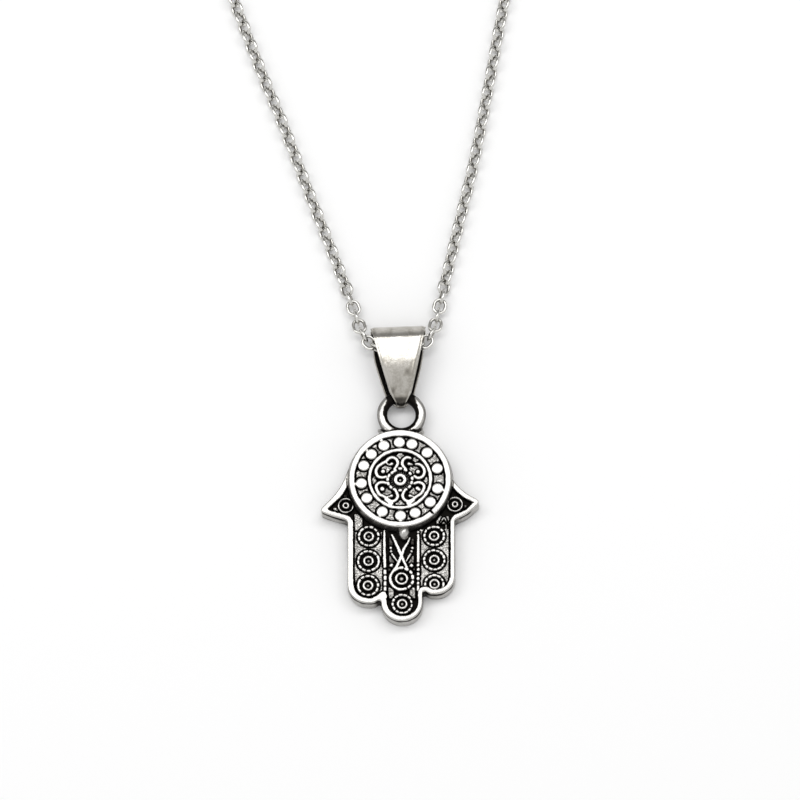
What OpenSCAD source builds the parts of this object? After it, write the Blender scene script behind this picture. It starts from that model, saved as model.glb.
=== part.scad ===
/* [Hand plate] */
// Width of the palm between its straight sides
palm_w = 15.16; // [14.6:0.02:16.4]
// Distance from the medallion's centre to the middle of the palm, to the right
palm_shift = 0.25; // [0.1:0.05:0.4]
// Width of the middle finger
middle_w = 5.9; // [5.6:0.05:6.2]
// Distance from the medallion's centre down to the middle fingertip
hand_drop = 20.95; // [20.5:0.05:23]
// Distance from the medallion's centre down to the left fingertip
left_drop = 18.3; // [18:0.05:19]
// Distance from the medallion's centre down to the right fingertip
right_drop = 16.95; // [16.6:0.05:17.6]
// Rise of each notch beside the middle finger above the outer fingertip
notch_rise = 0.62; // [0.4:0.02:0.9]
// Distance from the medallion's centre to the left thumb tip
thumb_left = 11.05; // [10.7:0.05:11.6]
// Distance from the medallion's centre to the right thumb tip
thumb_right = 11.2; // [10.8:0.05:11.8]
// Distance from the medallion's centre down to the lower edge of the thumbs
thumb_low = 5.85; // [5.5:0.05:6.3]
// Thickness of the plate at its rim
plate_t = 2.5; // [2.2:0.05:2.8]
// Width of the raised rim
rim_w = 0.72; // [0.5:0.02:0.9]
// Depth of the recess inside the rim
recess = 0.85; // [0.5:0.05:1.1]

/* [Medallion] */
// Diameter of the medallion at its top edge
medal_d = 14.4; // [13.8:0.1:15]
// Flare of the medallion's wall from its top edge to its foot
medal_flare = 0.35; // [0.1:0.05:0.5]
// Height of the medallion above the back of the pendant
medal_t = 3.3; // [3:0.05:3.8]
// Width of the medallion's outer rim
medal_rim_w = 0.8; // [0.6:0.05:1]
// Depth of the medallion's recess
medal_recess = 0.8; // [0.5:0.05:1]
// Outer diameter of the inner ring
inner_ring_d = 9.12; // [8.8:0.04:9.4]
// Width of the inner ring
inner_ring_w = 0.5; // [0.4:0.02:0.6]
// Diameter of each domed bead
bead_d = 1.64; // [1.3:0.02:1.7]
// Outer diameter of the centre ring
centre_ring_d = 1.84; // [1.6:0.04:2]
// Width of a scroll's band
scroll_w = 0.4; // [0.3:0.02:0.5]
// Diameter of the ball below the medallion
ball_d = 1.55; // [1.2:0.05:1.8]

/* [Filigree] */
// Outer diameter of a finger rosette
rosette_d = 3.2; // [2.8:0.05:3.4]
// Outer diameter of the large rosette in the middle
big_rosette_d = 3.55; // [3.2:0.05:3.8]
// Diameter of a granule
granule_d = 0.44; // [0.3:0.02:0.5]
// Width of the small rings
wire_ring_w = 0.26; // [0.2:0.02:0.32]
// Width of the bars between the fingers
bar_w = 0.4; // [0.3:0.02:0.5]
// Width of the crossed ribbons
ribbon_w = 0.42; // [0.3:0.02:0.5]
// Width of the groove left round each raised figure
moat = 0.2; // [0.12:0.02:0.28]

/* [Hanging ring] */
// Diameter of the ring's hole
eye_d = 3.97; // [3.8:0.05:4.4]
// Diameter of the ring's round section
eye_wire = 1.48; // [1.3:0.02:1.6]
// Distance from the medallion's edge to the ring's hole
eye_gap = 0.9; // [0.8:0.05:1.1]

/* [Bail] */
// Width of the bail across its top fold
bail_w = 7.8; // [7:0.1:9]
// Distance from the ring's section to the middle of the top fold
bail_l = 7.85; // [7:0.05:9]
// Outer diameter of the top fold
fold_d = 4.8; // [4.6:0.1:5.4]
// Thickness of the bail's sheet
sheet_t = 0.5; // [0.4:0.02:0.6]
// Clearance between the bail's hook and the ring
hook_gap = 0.3; // [0.2:0.01:0.36]
// Gap between the bail's two prong ends
prong_gap = 0.2; // [0.15:0.01:0.3]
// Lean of the bail to the left
bail_lean = 2.2; // [0:0.1:4]

/* [Chain] */
// Outer length of a link
link_l = 2.5; // [2.45:0.01:2.6]
// Outer width of a link
link_w = 2.1; // [2:0.01:2.15]
// Diameter of a link's wire
link_wire = 0.42; // [0.36:0.01:0.44]
// Distance from one link's middle to the next
link_pitch = 1.5; // [1.48:0.01:1.55]
// Number of open links on each side of the bail's middle
links_each_side = 43; // [41:1:46]
// Diameter of the closed stretch of the chain
back_d = 1.8; // [1.5:0.05:2]

/* [Clasp] */
// Length of the clasp's hook
clasp_l = 8.6; // [8:0.1:9.5]
// Width of the clasp's hook
clasp_w = 5; // [4.8:0.1:5.6]
// Diameter of the clasp's section
clasp_wire = 1; // [0.9:0.05:1.05]
// Outer diameter of the clasp's small eye
clasp_eye_d = 2.9; // [2.7:0.1:3.2]
// Diameter of the small eye's section
clasp_eye_wire = 0.6; // [0.5:0.05:0.7]
// Outer diameter of the end ring
end_ring_d = 5.2; // [5:0.1:5.6]
// Diameter of the end ring's wire
end_ring_wire = 0.6; // [0.5:0.05:0.65]
// Tilt of the end ring as it lies in the clasp
end_ring_tilt = 50; // [47:1:56]

/* [Hidden] */
$fn = 48;

// Depth that a raised figure is rooted below the floor it stands on
root = 0.15;
// Length of one flat on a rounded corner
corner_flat = 0.3;
// Least radius of a convex corner on the inner side of the rim
inner_round = 0.12;
// Room kept between two pieces that follow each other along the chain
seat = 0.3;
// Height of the lowest metal above the resting plane
floor_gap = 0.02;

palm_l = palm_shift - palm_w / 2;
palm_r = palm_shift + palm_w / 2;
middle_shift = 0.35;
middle_l = middle_shift - middle_w / 2;
middle_r = middle_shift + middle_w / 2;
floor_z = plate_t - recess;
figure_z = plate_t - 0.12;
pad_z = plate_t - 0.35;

medal_r = medal_d / 2;
medal_floor = medal_t - medal_recess;
medal_pad_z = medal_t - 0.3;
inner_r = inner_ring_d / 2;
bead_r = bead_d / 2;
bead_track = (medal_r - medal_rim_w + inner_r) / 2;
bead_ball_r = bead_r * 1.06;
bead_sink = 0.2;
// Places of the domed beads round the medallion, in degrees clockwise from the top
bead_angles = [-1, 17.8, 44.1, 73.3, 105.1, 128.9, 157.2, 179.3, 207.2, 238.7, 263.2, 291.3, 312.4, 335.5];
granule_ring_r = 1.7;
granule_ring_n = 15;
centre_hole_share = 0.5;

// The ring's middle plane leaves room for the bail's hook between the ring and the floor
eye_z = eye_wire / 2 + hook_gap + sheet_t + floor_gap;
eye_shift = 0.2;
eye_r = (eye_d + eye_wire) / 2;
eye_y = medal_r + eye_gap + eye_d / 2;

hook_r = eye_wire / 2 + hook_gap + sheet_t / 2;
fold_r = (fold_d - sheet_t) / 2;
fold_z = fold_d / 2;
// The hook sits a little low, because the ring curves away from it at both sides
hook_y = eye_r - hook_gap / 3;
fold_y = hook_y + bail_l;

// Inset corner of a polygon: the arc that rounds the corner, moved inwards
function unit(v) = v / norm(v);
function cross_z(a, b) = a[0] * b[1] - a[1] * b[0];
function turned(v, a) = [v[0] * cos(a) - v[1] * sin(a), v[0] * sin(a) + v[1] * cos(a)];
function corner_arc(a, p, b, r, inset) =
  let (
    u = unit(a - p),
    v = unit(b - p),
    half = acos(u * v) / 2,
    side = cross_z(p - a, b - p) > 0 ? 1 : -1,
    bend = side > 0 ? max(r, inset + inner_round) : r,
    centre = p + unit(u + v) * bend / sin(half),
    start = unit(p + u * bend / tan(half) - centre),
    sweep = side * (180 - 2 * half),
    steps = max(2, ceil(r * abs(sweep) * PI / 180 / corner_flat))
  )
  [for (i = [0 : steps]) centre + turned(start, sweep * i / steps) * (bend - side * inset)];
function rounded_outline(rows, inset) =
  let (n = len(rows))
  [for (i = [0 : n - 1]) each corner_arc(
    [rows[(i + n - 1) % n][0], rows[(i + n - 1) % n][1]],
    [rows[i][0], rows[i][1]],
    [rows[(i + 1) % n][0], rows[(i + 1) % n][1]],
    rows[i][2], inset)];

// Corners of the hand, anticlockwise: x, y and the radius that rounds the corner
hand_corners = [
  [palm_l, -left_drop, 2.9],
  [middle_l - 1, -left_drop, 1.3],
  [middle_l, -left_drop + notch_rise, 0.25],
  [middle_l, -hand_drop, middle_w * 0.49],
  [middle_r, -hand_drop, middle_w * 0.49],
  [middle_r, -right_drop + notch_rise, 0.25],
  [middle_r + 1, -right_drop, 1.3],
  [palm_r, -right_drop, 2.7],
  [palm_r, -thumb_low + 0.03, 0.5],
  [thumb_right * 0.841, -thumb_low + 0.71, 5],
  [thumb_right + 0.44, -thumb_low + 2.78, 0.62],
  [thumb_right * 0.798, -thumb_low + 4.23, 7],
  [medal_r * 0.986, 0.85, 0.3],
  [medal_r * 0.72, 2, 1],
  [-medal_r * 0.72, 2, 1],
  [-medal_r * 0.993, 1.9, 0.3],
  [-thumb_left * 0.7665, -thumb_low + 4.45, 10],
  [-thumb_left - 0.42, -thumb_low + 1.295, 0.57],
  [-thumb_left * 0.851, -thumb_low + 0.5, 3],
  [palm_l, -thumb_low - 0.1, 0.5],
];

module hand_shape(inset) {
  polygon(rounded_outline(hand_corners, inset));
}

module flat_ring(r, w, z_low, z_high) {
  translate([0, 0, z_low])
    rotate_extrude()
      translate([r - w, 0])
        square([w, z_high - z_low]);
}

module post(x, y, r, z_low, z_high) {
  translate([x, y, z_low])
    cylinder(h = z_high - z_low, r = r);
}

module arc_band(x, y, r, from, sweep, z_low, z_high) {
  translate([x, y, z_low])
    rotate([0, 0, from])
      rotate_extrude(angle = sweep)
        translate([r - scroll_w / 2, 0])
          square([scroll_w, z_high - z_low]);
}

module bar(a, b, w, z_low, z_high) {
  run = b - a;
  translate([a[0], a[1], z_low])
    rotate([0, 0, atan2(run[1], run[0])])
      translate([0, -w / 2, 0])
        cube([norm(run), w, z_high - z_low]);
}

// Ring of granules round a small wire ring with a dot in it
small_ring_share = 0.24;
module rosette(at, d, granules) {
  translate([at[0], at[1], 0]) {
    for (i = [0 : granules - 1])
      rotate([0, 0, 360 * i / granules])
        post(d / 2 - granule_d / 2, 0, granule_d / 2, floor_z - root, figure_z);
    flat_ring(d * small_ring_share, wire_ring_w, floor_z - root, figure_z);
    post(0, 0, wire_ring_w, floor_z - root, pad_z);
  }
}

// Middles of the two finger columns, halfway between the rim and the bars
bar_side = middle_w / 2 - rim_w * 0.75;
bar_l = middle_shift - bar_side;
bar_r = middle_shift + bar_side;
column_l = (palm_l + rim_w + bar_l - bar_w / 2) / 2 - 0.02;
column_r = (palm_r - rim_w + bar_r + bar_w / 2) / 2 - 0.1;
// The first rosettes lie this far below the medallion, and the last ones above the left fingertip
rosette_top_gap = 0.95;
rosette_foot_gap = 2.75;
rosette_top = medal_r + rosette_top_gap;
rosette_step = (left_drop - rosette_foot_gap - rosette_top) / 2;
rosette_granules = 13;
big_rosette_granules = 14;
rosette_rows = [for (i = [0 : 2]) -rosette_top - i * rosette_step];
rosette_places = [
  for (y = rosette_rows) [column_l, y],
  for (y = rosette_rows) [column_r, y + 0.1],
];

// The middle finger's two rosettes, from its tip upwards, and the ribbons above them
low_rosette_d = rosette_d * 0.96;
low_rosette_y = -hand_drop + rim_w + 2 * moat + rosette_d / 2;
big_rosette_y = low_rosette_y + (rosette_d + big_rosette_d) / 2 + 2.2 * moat;
ribbon_top = [1.22, -medal_r - 0.5];
ribbon_foot = [0.85, big_rosette_y + big_rosette_d * 0.45];
cross_y = ribbon_top[1] + (ribbon_foot[1] - ribbon_top[1]) * ribbon_top[0] / (ribbon_top[0] + ribbon_foot[0]);
// Small dots beside the ribbons, from their crossing: sideways and upwards
side_dots = [[1.5, 0.8], [1.5, 0.32], [1.42, -1.73]];
dart = [[1.42, 0.1], [0.72, -1.23]];
// Length of the raised ground that runs in under the medallion's wall
pad_lap = 0.6;

// Raised ground between the rosettes, cut back by a groove round each figure
module pads() {
  translate([0, 0, floor_z - root])
    linear_extrude(pad_z - floor_z + root)
      difference() {
        intersection() {
          hand_shape(rim_w + moat);
          union() {
            translate([palm_l, -left_drop])
              square([bar_l - bar_w / 2 - moat - palm_l, left_drop - medal_r + pad_lap]);
            translate([bar_r + bar_w / 2 + moat, -left_drop])
              square([palm_r - bar_r, left_drop - medal_r + pad_lap]);
            translate([bar_l + bar_w / 2 + moat, -hand_drop])
              square([2 * bar_side - bar_w - 2 * moat, hand_drop + ribbon_foot[1] + moat]);
          }
        }
        for (p = rosette_places)
          translate(p)
            circle(r = rosette_d / 2 + moat);
        translate([middle_shift, big_rosette_y])
          circle(r = big_rosette_d / 2 + moat);
        translate([middle_shift, low_rosette_y])
          circle(r = low_rosette_d / 2 + moat);
      }
}

// Two ribbons that cross above the large rosette, with small dots and darts beside them
module crossed_ribbons() {
  for (s = [-1, 1])
    translate([middle_shift, 0, 0]) {
      bar([s * ribbon_top[0], ribbon_top[1]], [-s * ribbon_foot[0], ribbon_foot[1]],
        ribbon_w, floor_z - root, figure_z);
      translate([0, cross_y, 0]) {
        bar([s * dart[0][0], dart[0][1]], [s * dart[1][0], dart[1][1]],
          wire_ring_w, floor_z - root, figure_z);
        for (dot = side_dots)
          post(s * dot[0], dot[1], granule_d / 2, floor_z - root, figure_z);
      }
    }
}

// Places of the eyes on the thumbs, as shares of the medallion's radius
thumb_eye_places = [[-1.06, -0.51], [1.075, -0.485]];
thumb_eye_r = 1.12;
thumb_pupil_r = 0.47;
module thumb_eyes() {
  for (place = thumb_eye_places)
    translate(medal_r * place) {
      flat_ring(thumb_eye_r, wire_ring_w, floor_z - root, figure_z);
      flat_ring(thumb_pupil_r, wire_ring_w, floor_z - root, figure_z);
    }
}

module bars() {
  bar_foot = [-left_drop + notch_rise + rim_w, -right_drop + notch_rise + rim_w];
  bar([bar_l, -medal_r], [bar_l, bar_foot[0]], bar_w, floor_z - root, figure_z);
  bar([bar_r, -medal_r], [bar_r, bar_foot[1]], bar_w, floor_z - root, figure_z);
}

// One quarter of the scrollwork: two volutes joined by a link, with a dot in each.
// Places and radius of the volutes are shares of the inner ring's radius
scroll_near = 0.27;
scroll_far = 0.55;
scroll_curl = 0.185;
// Directions in which the two volutes start
upper_start = 55;
lower_start = 215;
module scroll_quarter(z_low, z_high) {
  near = inner_r * scroll_near;
  far = inner_r * scroll_far;
  curl = inner_r * scroll_curl;
  arc_band(near, far, curl, upper_start, 180, z_low, z_high);
  arc_band(far, near, curl, lower_start, 180, z_low, z_high);
  bar([near, far] - turned([curl, 0], 45), [far, near] - turned([curl, 0], 45),
    scroll_w, z_low, z_high);
  post(near, far, granule_d / 2, z_low, z_high);
  post(far, near, granule_d / 2, z_low, z_high);
}

module medallion() {
  difference() {
    cylinder(h = medal_t, r1 = medal_r + medal_flare, r2 = medal_r);
    translate([0, 0, medal_floor])
      cylinder(h = medal_t, r = medal_r - medal_rim_w);
  }
  flat_ring(inner_r, inner_ring_w, medal_floor - root, medal_t);
  for (a = bead_angles)
    rotate([0, 0, -a])
      translate([0, bead_track, medal_floor - bead_ball_r * bead_sink])
        sphere(r = bead_ball_r);
  translate([0, 0, medal_floor - root])
    linear_extrude(medal_pad_z - medal_floor + root)
      difference() {
        circle(r = medal_r - medal_rim_w - moat);
        circle(r = inner_r + moat);
        for (a = bead_angles)
          rotate([0, 0, -a])
            translate([0, bead_track])
              circle(r = bead_r + moat);
      }
  flat_ring(centre_ring_d / 2, centre_ring_d / 2 * centre_hole_share, medal_floor - root, medal_t);
  for (i = [0 : granule_ring_n - 1])
    rotate([0, 0, 360 * i / granule_ring_n])
      post(0, granule_ring_r, granule_d / 2, medal_floor - root, medal_t - 0.1);
  for (i = [0 : 1])
    rotate([0, 0, 180 * i]) {
      scroll_quarter(medal_floor - root, medal_t - 0.05);
      mirror([1, 0, 0])
        scroll_quarter(medal_floor - root, medal_t - 0.05);
    }
}

ball_shift = 0.6;
ball_sink = 0.42;
module ball_drop() {
  translate([ball_shift, -medal_r - ball_d / 2, plate_t - ball_d * ball_sink])
    rotate([90, 0, 0])
      sphere(r = ball_d / 2);
}

module hanging_ring() {
  translate([eye_shift, eye_y, eye_z])
    rotate_extrude()
      translate([eye_r, 0])
        circle(r = eye_wire / 2);
}

module pendant() {
  color("silver") {
    difference() {
      linear_extrude(plate_t)
        hand_shape(0);
      translate([0, 0, floor_z])
        linear_extrude(plate_t)
          hand_shape(rim_w);
    }
    medallion();
    hanging_ring();
    ball_drop();
    pads();
    for (p = rosette_places)
      rosette(p, rosette_d, rosette_granules);
    rosette([middle_shift, big_rosette_y], big_rosette_d, big_rosette_granules);
    rosette([middle_shift, low_rosette_y], low_rosette_d, rosette_granules);
    crossed_ribbons();
    thumb_eyes();
    bars();
  }
}

// Side profile of the bail, seen from its side: along the sheet's middle, from prong to prong
axis_run = [fold_y - hook_y, fold_z - eye_z];
axis_angle = atan2(axis_run[1], axis_run[0]);
wrap = asin((fold_r - hook_r) / norm(axis_run));
prong_angle = asin(min(0.9, prong_gap / 2 / hook_r));
function sheet_side(offset) = concat(
  [for (i = [0 : 8]) let (a = 180 - prong_angle + (axis_angle + wrap - 90 + prong_angle) * i / 8)
    [hook_y, eye_z] + (hook_r + offset) * [cos(a), sin(a)]],
  [for (i = [0 : 16]) let (a = 90 + axis_angle + wrap - (180 + 2 * wrap) * i / 16)
    [fold_y, fold_z] + (fold_r + offset) * [cos(a), sin(a)]],
  [for (i = [0 : 8]) let (a = -90 + axis_angle - wrap - (90 + axis_angle - wrap - prong_angle) * i / 8)
    [hook_y, eye_z] + (hook_r + offset) * [cos(a), sin(a)]]);
function reversed(list) = [for (i = [len(list) - 1 : -1 : 0]) list[i]];

// Half width of the bail along its length, from the tip: share of the length, share of the width
bail_taper = [
  [-0.05, 0.16], [0.045, 0.23], [0.154, 0.4], [0.352, 0.57], [0.523, 0.705],
  [0.686, 0.82], [0.849, 0.925], [0.918, 0.97], [1.05, 1],
];
bail_tip = hook_y - hook_r - sheet_t / 2;
bail_top = fold_y + fold_d / 2;

module bail() {
  edge = [for (row = bail_taper) [row[1] * bail_w / 2, bail_tip + row[0] * (bail_top - bail_tip)]];
  color("silver")
    translate([eye_shift, eye_y, 0])
      rotate([0, 0, bail_lean])
        intersection() {
          rotate([90, 0, 90])
            translate([0, 0, -bail_w])
              linear_extrude(bail_w * 2)
                polygon(concat(sheet_side(sheet_t / 2), reversed(sheet_side(-sheet_t / 2))));
          translate([0, 0, -1])
            linear_extrude(fold_d + 2)
              polygon(concat(edge, [for (p = reversed(edge)) [-p[0], p[1]]]));
        }
}

// The clasp starts where the chain's left side ends. Its small eye, its long loop and the
// end ring follow each other along one line, up to where the chain's right side starts
clasp_start = [-7.5, 214];
clasp_turn = -1.5;
eye_overlap = 0.2;
ring_play = 0.3;
end_ring_r = (end_ring_d - end_ring_wire) / 2;
clasp_tip_x = seat + clasp_eye_d + clasp_l - eye_overlap;
end_ring_x = clasp_tip_x - clasp_wire - end_ring_wire / 2 - ring_play + end_ring_r;
clasp_reach = end_ring_x + end_ring_d / 2 + seat;
clasp_end = clasp_start + clasp_reach * [cos(clasp_turn), sin(clasp_turn)];

// Route of the chain's middle line, from the clasp down the left side, through the bail
// and up the right side to the end ring: x and y of points chosen by hand
route_xy = [
  clasp_start, [-15.5, 212.4], [-25, 208.2], [-34.2, 201], [-41.2, 191], [-45.6, 178.5], [-47, 165],
  [-45.9, 149], [-42.9, 132], [-38.3, 114.5], [-32.5, 97], [-26, 79.5], [-19.7, 62], [-16.5, 53.8],
  [-13, 44], [-8.5, 31.8], [-6.5, 26.1], [-5.65, 23], [-4.55, 21], [-2.65, 19.65],
  [-0.3, 19.15],
  [2, 19.7], [3.85, 21.15], [4.9, 23.1], [5.5, 26.1], [6.7, 31.7], [8.8, 41], [10.6, 49],
  [12.6, 60], [15.3, 75], [19.6, 93], [24.8, 111], [30.2, 129], [34.9, 147], [38, 163],
  [38.6, 177], [36.4, 189.5], [31.2, 200], [23.2, 208.2], [14.5, 212.6], clasp_end,
];
// Index of the route's point in the middle of the bail
route_mid = 20;
samples_per_span = 12;
// Distance along the chain, from the bail, where it comes down to the floor and where it turns
drop_from = 4;
drop_to = 11;
turn_from = 10;
turn_to = 15;
chain_high = sheet_t + link_w / 2 + seat;

function spline(a, b, c, d, t) = 0.5 * (2 * b + (c - a) * t + (2 * a - 5 * b + 4 * c - d) * t * t
  + (3 * b - a - 3 * c + d) * t * t * t);
route_line = [
  for (i = [0 : len(route_xy) - 2], k = [0 : samples_per_span - 1])
    spline(route_xy[max(i - 1, 0)], route_xy[i], route_xy[i + 1],
      route_xy[min(i + 2, len(route_xy) - 1)], k / samples_per_span),
  route_xy[len(route_xy) - 1],
];
route_run = [for (i = 0, run = 0; i < len(route_line);
  i = i + 1, run = run + (i < len(route_line) ? norm(route_line[i] - route_line[i - 1]) : 0)) run];
route_mid_run = route_run[route_mid * samples_per_span];
route_x = [for (i = [0 : len(route_line) - 1]) [route_run[i] - route_mid_run, route_line[i][0]]];
route_y = [for (i = [0 : len(route_line) - 1]) [route_run[i] - route_mid_run, route_line[i][1]]];
left_end = -route_mid_run;
right_end = route_run[len(route_run) - 1] - route_mid_run;

function eased(t) = let (u = min(1, max(0, t))) u * u * (3 - 2 * u);
function twist_at(s) = 45 * eased((abs(s) - turn_from) / (turn_to - turn_from));
function rest_height(twist) = (link_w - link_wire) / 2 * max(cos(twist), sin(twist))
  + link_wire / 2 + floor_gap;
function height_at(s) = let (low = rest_height(twist_at(s)))
  low + (chain_high - low) * (1 - eased((abs(s) - drop_from) / (drop_to - drop_from)));
function chain_at(s) = [lookup(s, route_x), lookup(s, route_y), height_at(s)];

module chain_link() {
  straight = link_l - link_w;
  bend_r = (link_w - link_wire) / 2;
  for (s = [0, 1])
    mirror([s, 0, 0])
      translate([straight / 2, 0, 0])
        rotate([0, 0, -90])
          rotate_extrude(angle = 180)
            translate([bend_r, 0])
              circle(d = link_wire);
  for (s = [-1, 1])
    translate([-straight / 2, s * bend_r, 0])
      rotate([0, 90, 0])
        cylinder(h = straight, d = link_wire);
}

// A link between two joints of the chain, turned about its own length
module placed_link(a, b, turn) {
  along = unit(b - a);
  across = unit(cross([0, 0, 1], along));
  up = cross(along, across);
  wide = across * cos(turn) + up * sin(turn);
  thin = cross(along, wide);
  mid = (a + b) / 2;
  multmatrix([
    [along[0], wide[0], thin[0], mid[0]],
    [along[1], wide[1], thin[1], mid[1]],
    [along[2], wide[2], thin[2], mid[2]],
    [0, 0, 0, 1],
  ])
    chain_link();
}

module chain_front() {
  color("gainsboro")
    for (i = [-links_each_side : links_each_side]) {
      s = i * link_pitch;
      placed_link(chain_at(s - link_pitch / 2), chain_at(s + link_pitch / 2),
        twist_at(s) + (abs(i) % 2 == 0 ? 90 : 0));
    }
}

// Tube swept along a stretch of the chain's route
tube_sides = 8;
tube_step = 5;
function tube_ring(s) = let (
    here = chain_at(s),
    along = unit(chain_at(s + 0.5) - chain_at(s - 0.5)),
    across = unit(cross([0, 0, 1], along)),
    up = cross(along, across),
    low = [here[0], here[1], back_d / 2 + floor_gap]
  )
  [for (k = [0 : tube_sides - 1]) low + back_d / 2 * (across * cos(360 * k / tube_sides)
    + up * sin(360 * k / tube_sides))];

module tube(from, to) {
  rings = max(2, round((to - from) / tube_step));
  last = rings * tube_sides;
  points = [for (i = [0 : rings]) each tube_ring(from + (to - from) * i / rings)];
  walls = [for (i = [0 : rings - 1], k = [0 : tube_sides - 1])
    let (a = i * tube_sides + k, b = i * tube_sides + (k + 1) % tube_sides)
    [a, b, b + tube_sides, a + tube_sides]];
  caps = [[for (k = [tube_sides - 1 : -1 : 0]) k], [for (k = [0 : tube_sides - 1]) last + k]];
  polyhedron(points, concat(caps, walls));
}

module chain_back() {
  open_run = links_each_side * link_pitch + link_l / 2 + seat;
  color("gainsboro") {
    tube(left_end, -open_run);
    tube(open_run, right_end);
  }
}

// The end ring rests on its low side, and the clasp's tip is held at the ring's middle height
end_ring_z = end_ring_wire / 2 + end_ring_r * sin(end_ring_tilt) + floor_gap;
clasp_eye_z = clasp_eye_wire / 2 + seat;
clasp_slope = asin((end_ring_z - clasp_eye_z) / (clasp_tip_x - clasp_wire / 2));

module wire_circle(r, wire, sweep) {
  rotate_extrude(angle = sweep)
    translate([r, 0])
      circle(d = wire);
}

module clasp() {
  bend_r = (clasp_w - clasp_wire) / 2;
  straight = clasp_l - clasp_w;
  color("gainsboro")
    translate([clasp_start[0], clasp_start[1], clasp_eye_z])
      rotate([0, 0, clasp_turn])
        rotate([0, -clasp_slope, 0]) {
          translate([seat + clasp_eye_d / 2, 0, 0])
            wire_circle((clasp_eye_d - clasp_eye_wire) / 2, clasp_eye_wire, 360);
          translate([clasp_tip_x - clasp_w / 2, 0, 0]) {
            rotate([0, 0, -90])
              wire_circle(bend_r, clasp_wire, 180);
            translate([-straight, 0, 0])
              rotate([0, 0, 90])
                wire_circle(bend_r, clasp_wire, 180);
            for (s = [-1, 1])
              translate([-straight, s * bend_r, 0])
                rotate([0, 90, 0])
                  cylinder(h = straight, d = clasp_wire);
          }
        }
}

module end_ring() {
  color("gainsboro")
    translate([clasp_start[0], clasp_start[1], end_ring_z])
      rotate([0, 0, clasp_turn])
        translate([end_ring_x, 0, 0])
          rotate([end_ring_tilt, 0, 0])
            wire_circle(end_ring_r, end_ring_wire, 360);
}

pendant();
bail();
chain_front();
chain_back();
clasp();
end_ring();
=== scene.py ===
"""Looks of the hamsa pendant necklace. Lengths in the tables are in millimetres, as on the real piece."""
import math

import bpy
import numpy as np
from mathutils import Matrix, Vector
from mathutils.geometry import delaunay_2d_cdt


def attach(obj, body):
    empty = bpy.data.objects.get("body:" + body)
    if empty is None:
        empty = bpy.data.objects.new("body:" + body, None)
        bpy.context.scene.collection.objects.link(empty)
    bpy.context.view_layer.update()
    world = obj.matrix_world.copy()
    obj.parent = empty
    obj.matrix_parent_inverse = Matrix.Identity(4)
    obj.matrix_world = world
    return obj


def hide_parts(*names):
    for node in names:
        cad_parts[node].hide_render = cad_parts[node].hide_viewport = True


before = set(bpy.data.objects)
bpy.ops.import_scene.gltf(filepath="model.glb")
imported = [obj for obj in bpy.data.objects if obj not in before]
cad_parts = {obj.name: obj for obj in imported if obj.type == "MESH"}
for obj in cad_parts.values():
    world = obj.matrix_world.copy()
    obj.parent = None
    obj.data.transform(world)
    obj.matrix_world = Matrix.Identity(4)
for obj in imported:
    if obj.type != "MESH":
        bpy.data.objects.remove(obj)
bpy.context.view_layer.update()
MM = 0.001

# Hand plate
PALM_W = 15.16
PALM_SHIFT = 0.25
MIDDLE_W = 5.9
MIDDLE_SHIFT = 0.35
HAND_DROP = 20.95
LEFT_DROP = 18.3
RIGHT_DROP = 16.95
NOTCH_RISE = 0.62
THUMB_LEFT = 11.05
THUMB_RIGHT = 11.2
THUMB_LOW = 5.85
PLATE_T = 2.5
RIM_W = 0.72
PLATE_FLOOR = 1.65
FIGURE_Z = 2.38
PAD_Z = 2.2
PALM_L = PALM_SHIFT - PALM_W / 2
PALM_R = PALM_SHIFT + PALM_W / 2
MIDDLE_L = MIDDLE_SHIFT - MIDDLE_W / 2
MIDDLE_R = MIDDLE_SHIFT + MIDDLE_W / 2
MOAT = 0.2

# Medallion
MEDAL_R = 7.2
MEDAL_T = 3.3
MEDAL_FLOOR = 2.5
MEDAL_RIM_W = 0.8
INNER_R = 4.56
INNER_W = 0.5
BEAD_R = 0.82
MEDAL_STEPS = 420
BEAD_TRACK = (MEDAL_R - MEDAL_RIM_W + INNER_R) / 2
BEAD_ANGLES = (-1, 17.8, 44.1, 73.3, 105.1, 128.9, 157.2, 179.3, 207.2, 238.7, 263.2, 291.3, 312.4, 335.5)
# Beads that the casting joined to the outer rim
JOINED_BEADS = (105.1, 179.3, 207.2, 263.2, 312.4, 335.5)

# Wear of a casting's edge: how far its wall leans out, and how far its top is rounded
WALL_LEAN = 0.08
EDGE_ROUND = 0.08
# Share of a figure's height at which its wall ends and its rounded edge starts
SHOULDER = 0.88
# The casting's figures are this much wider than drawn
SWELL = 0.035
GRID = 0.08
# The plate was cast a little askew: its top edge lies this far to the left of its foot
TOP_SHIFT = 0.1

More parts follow.
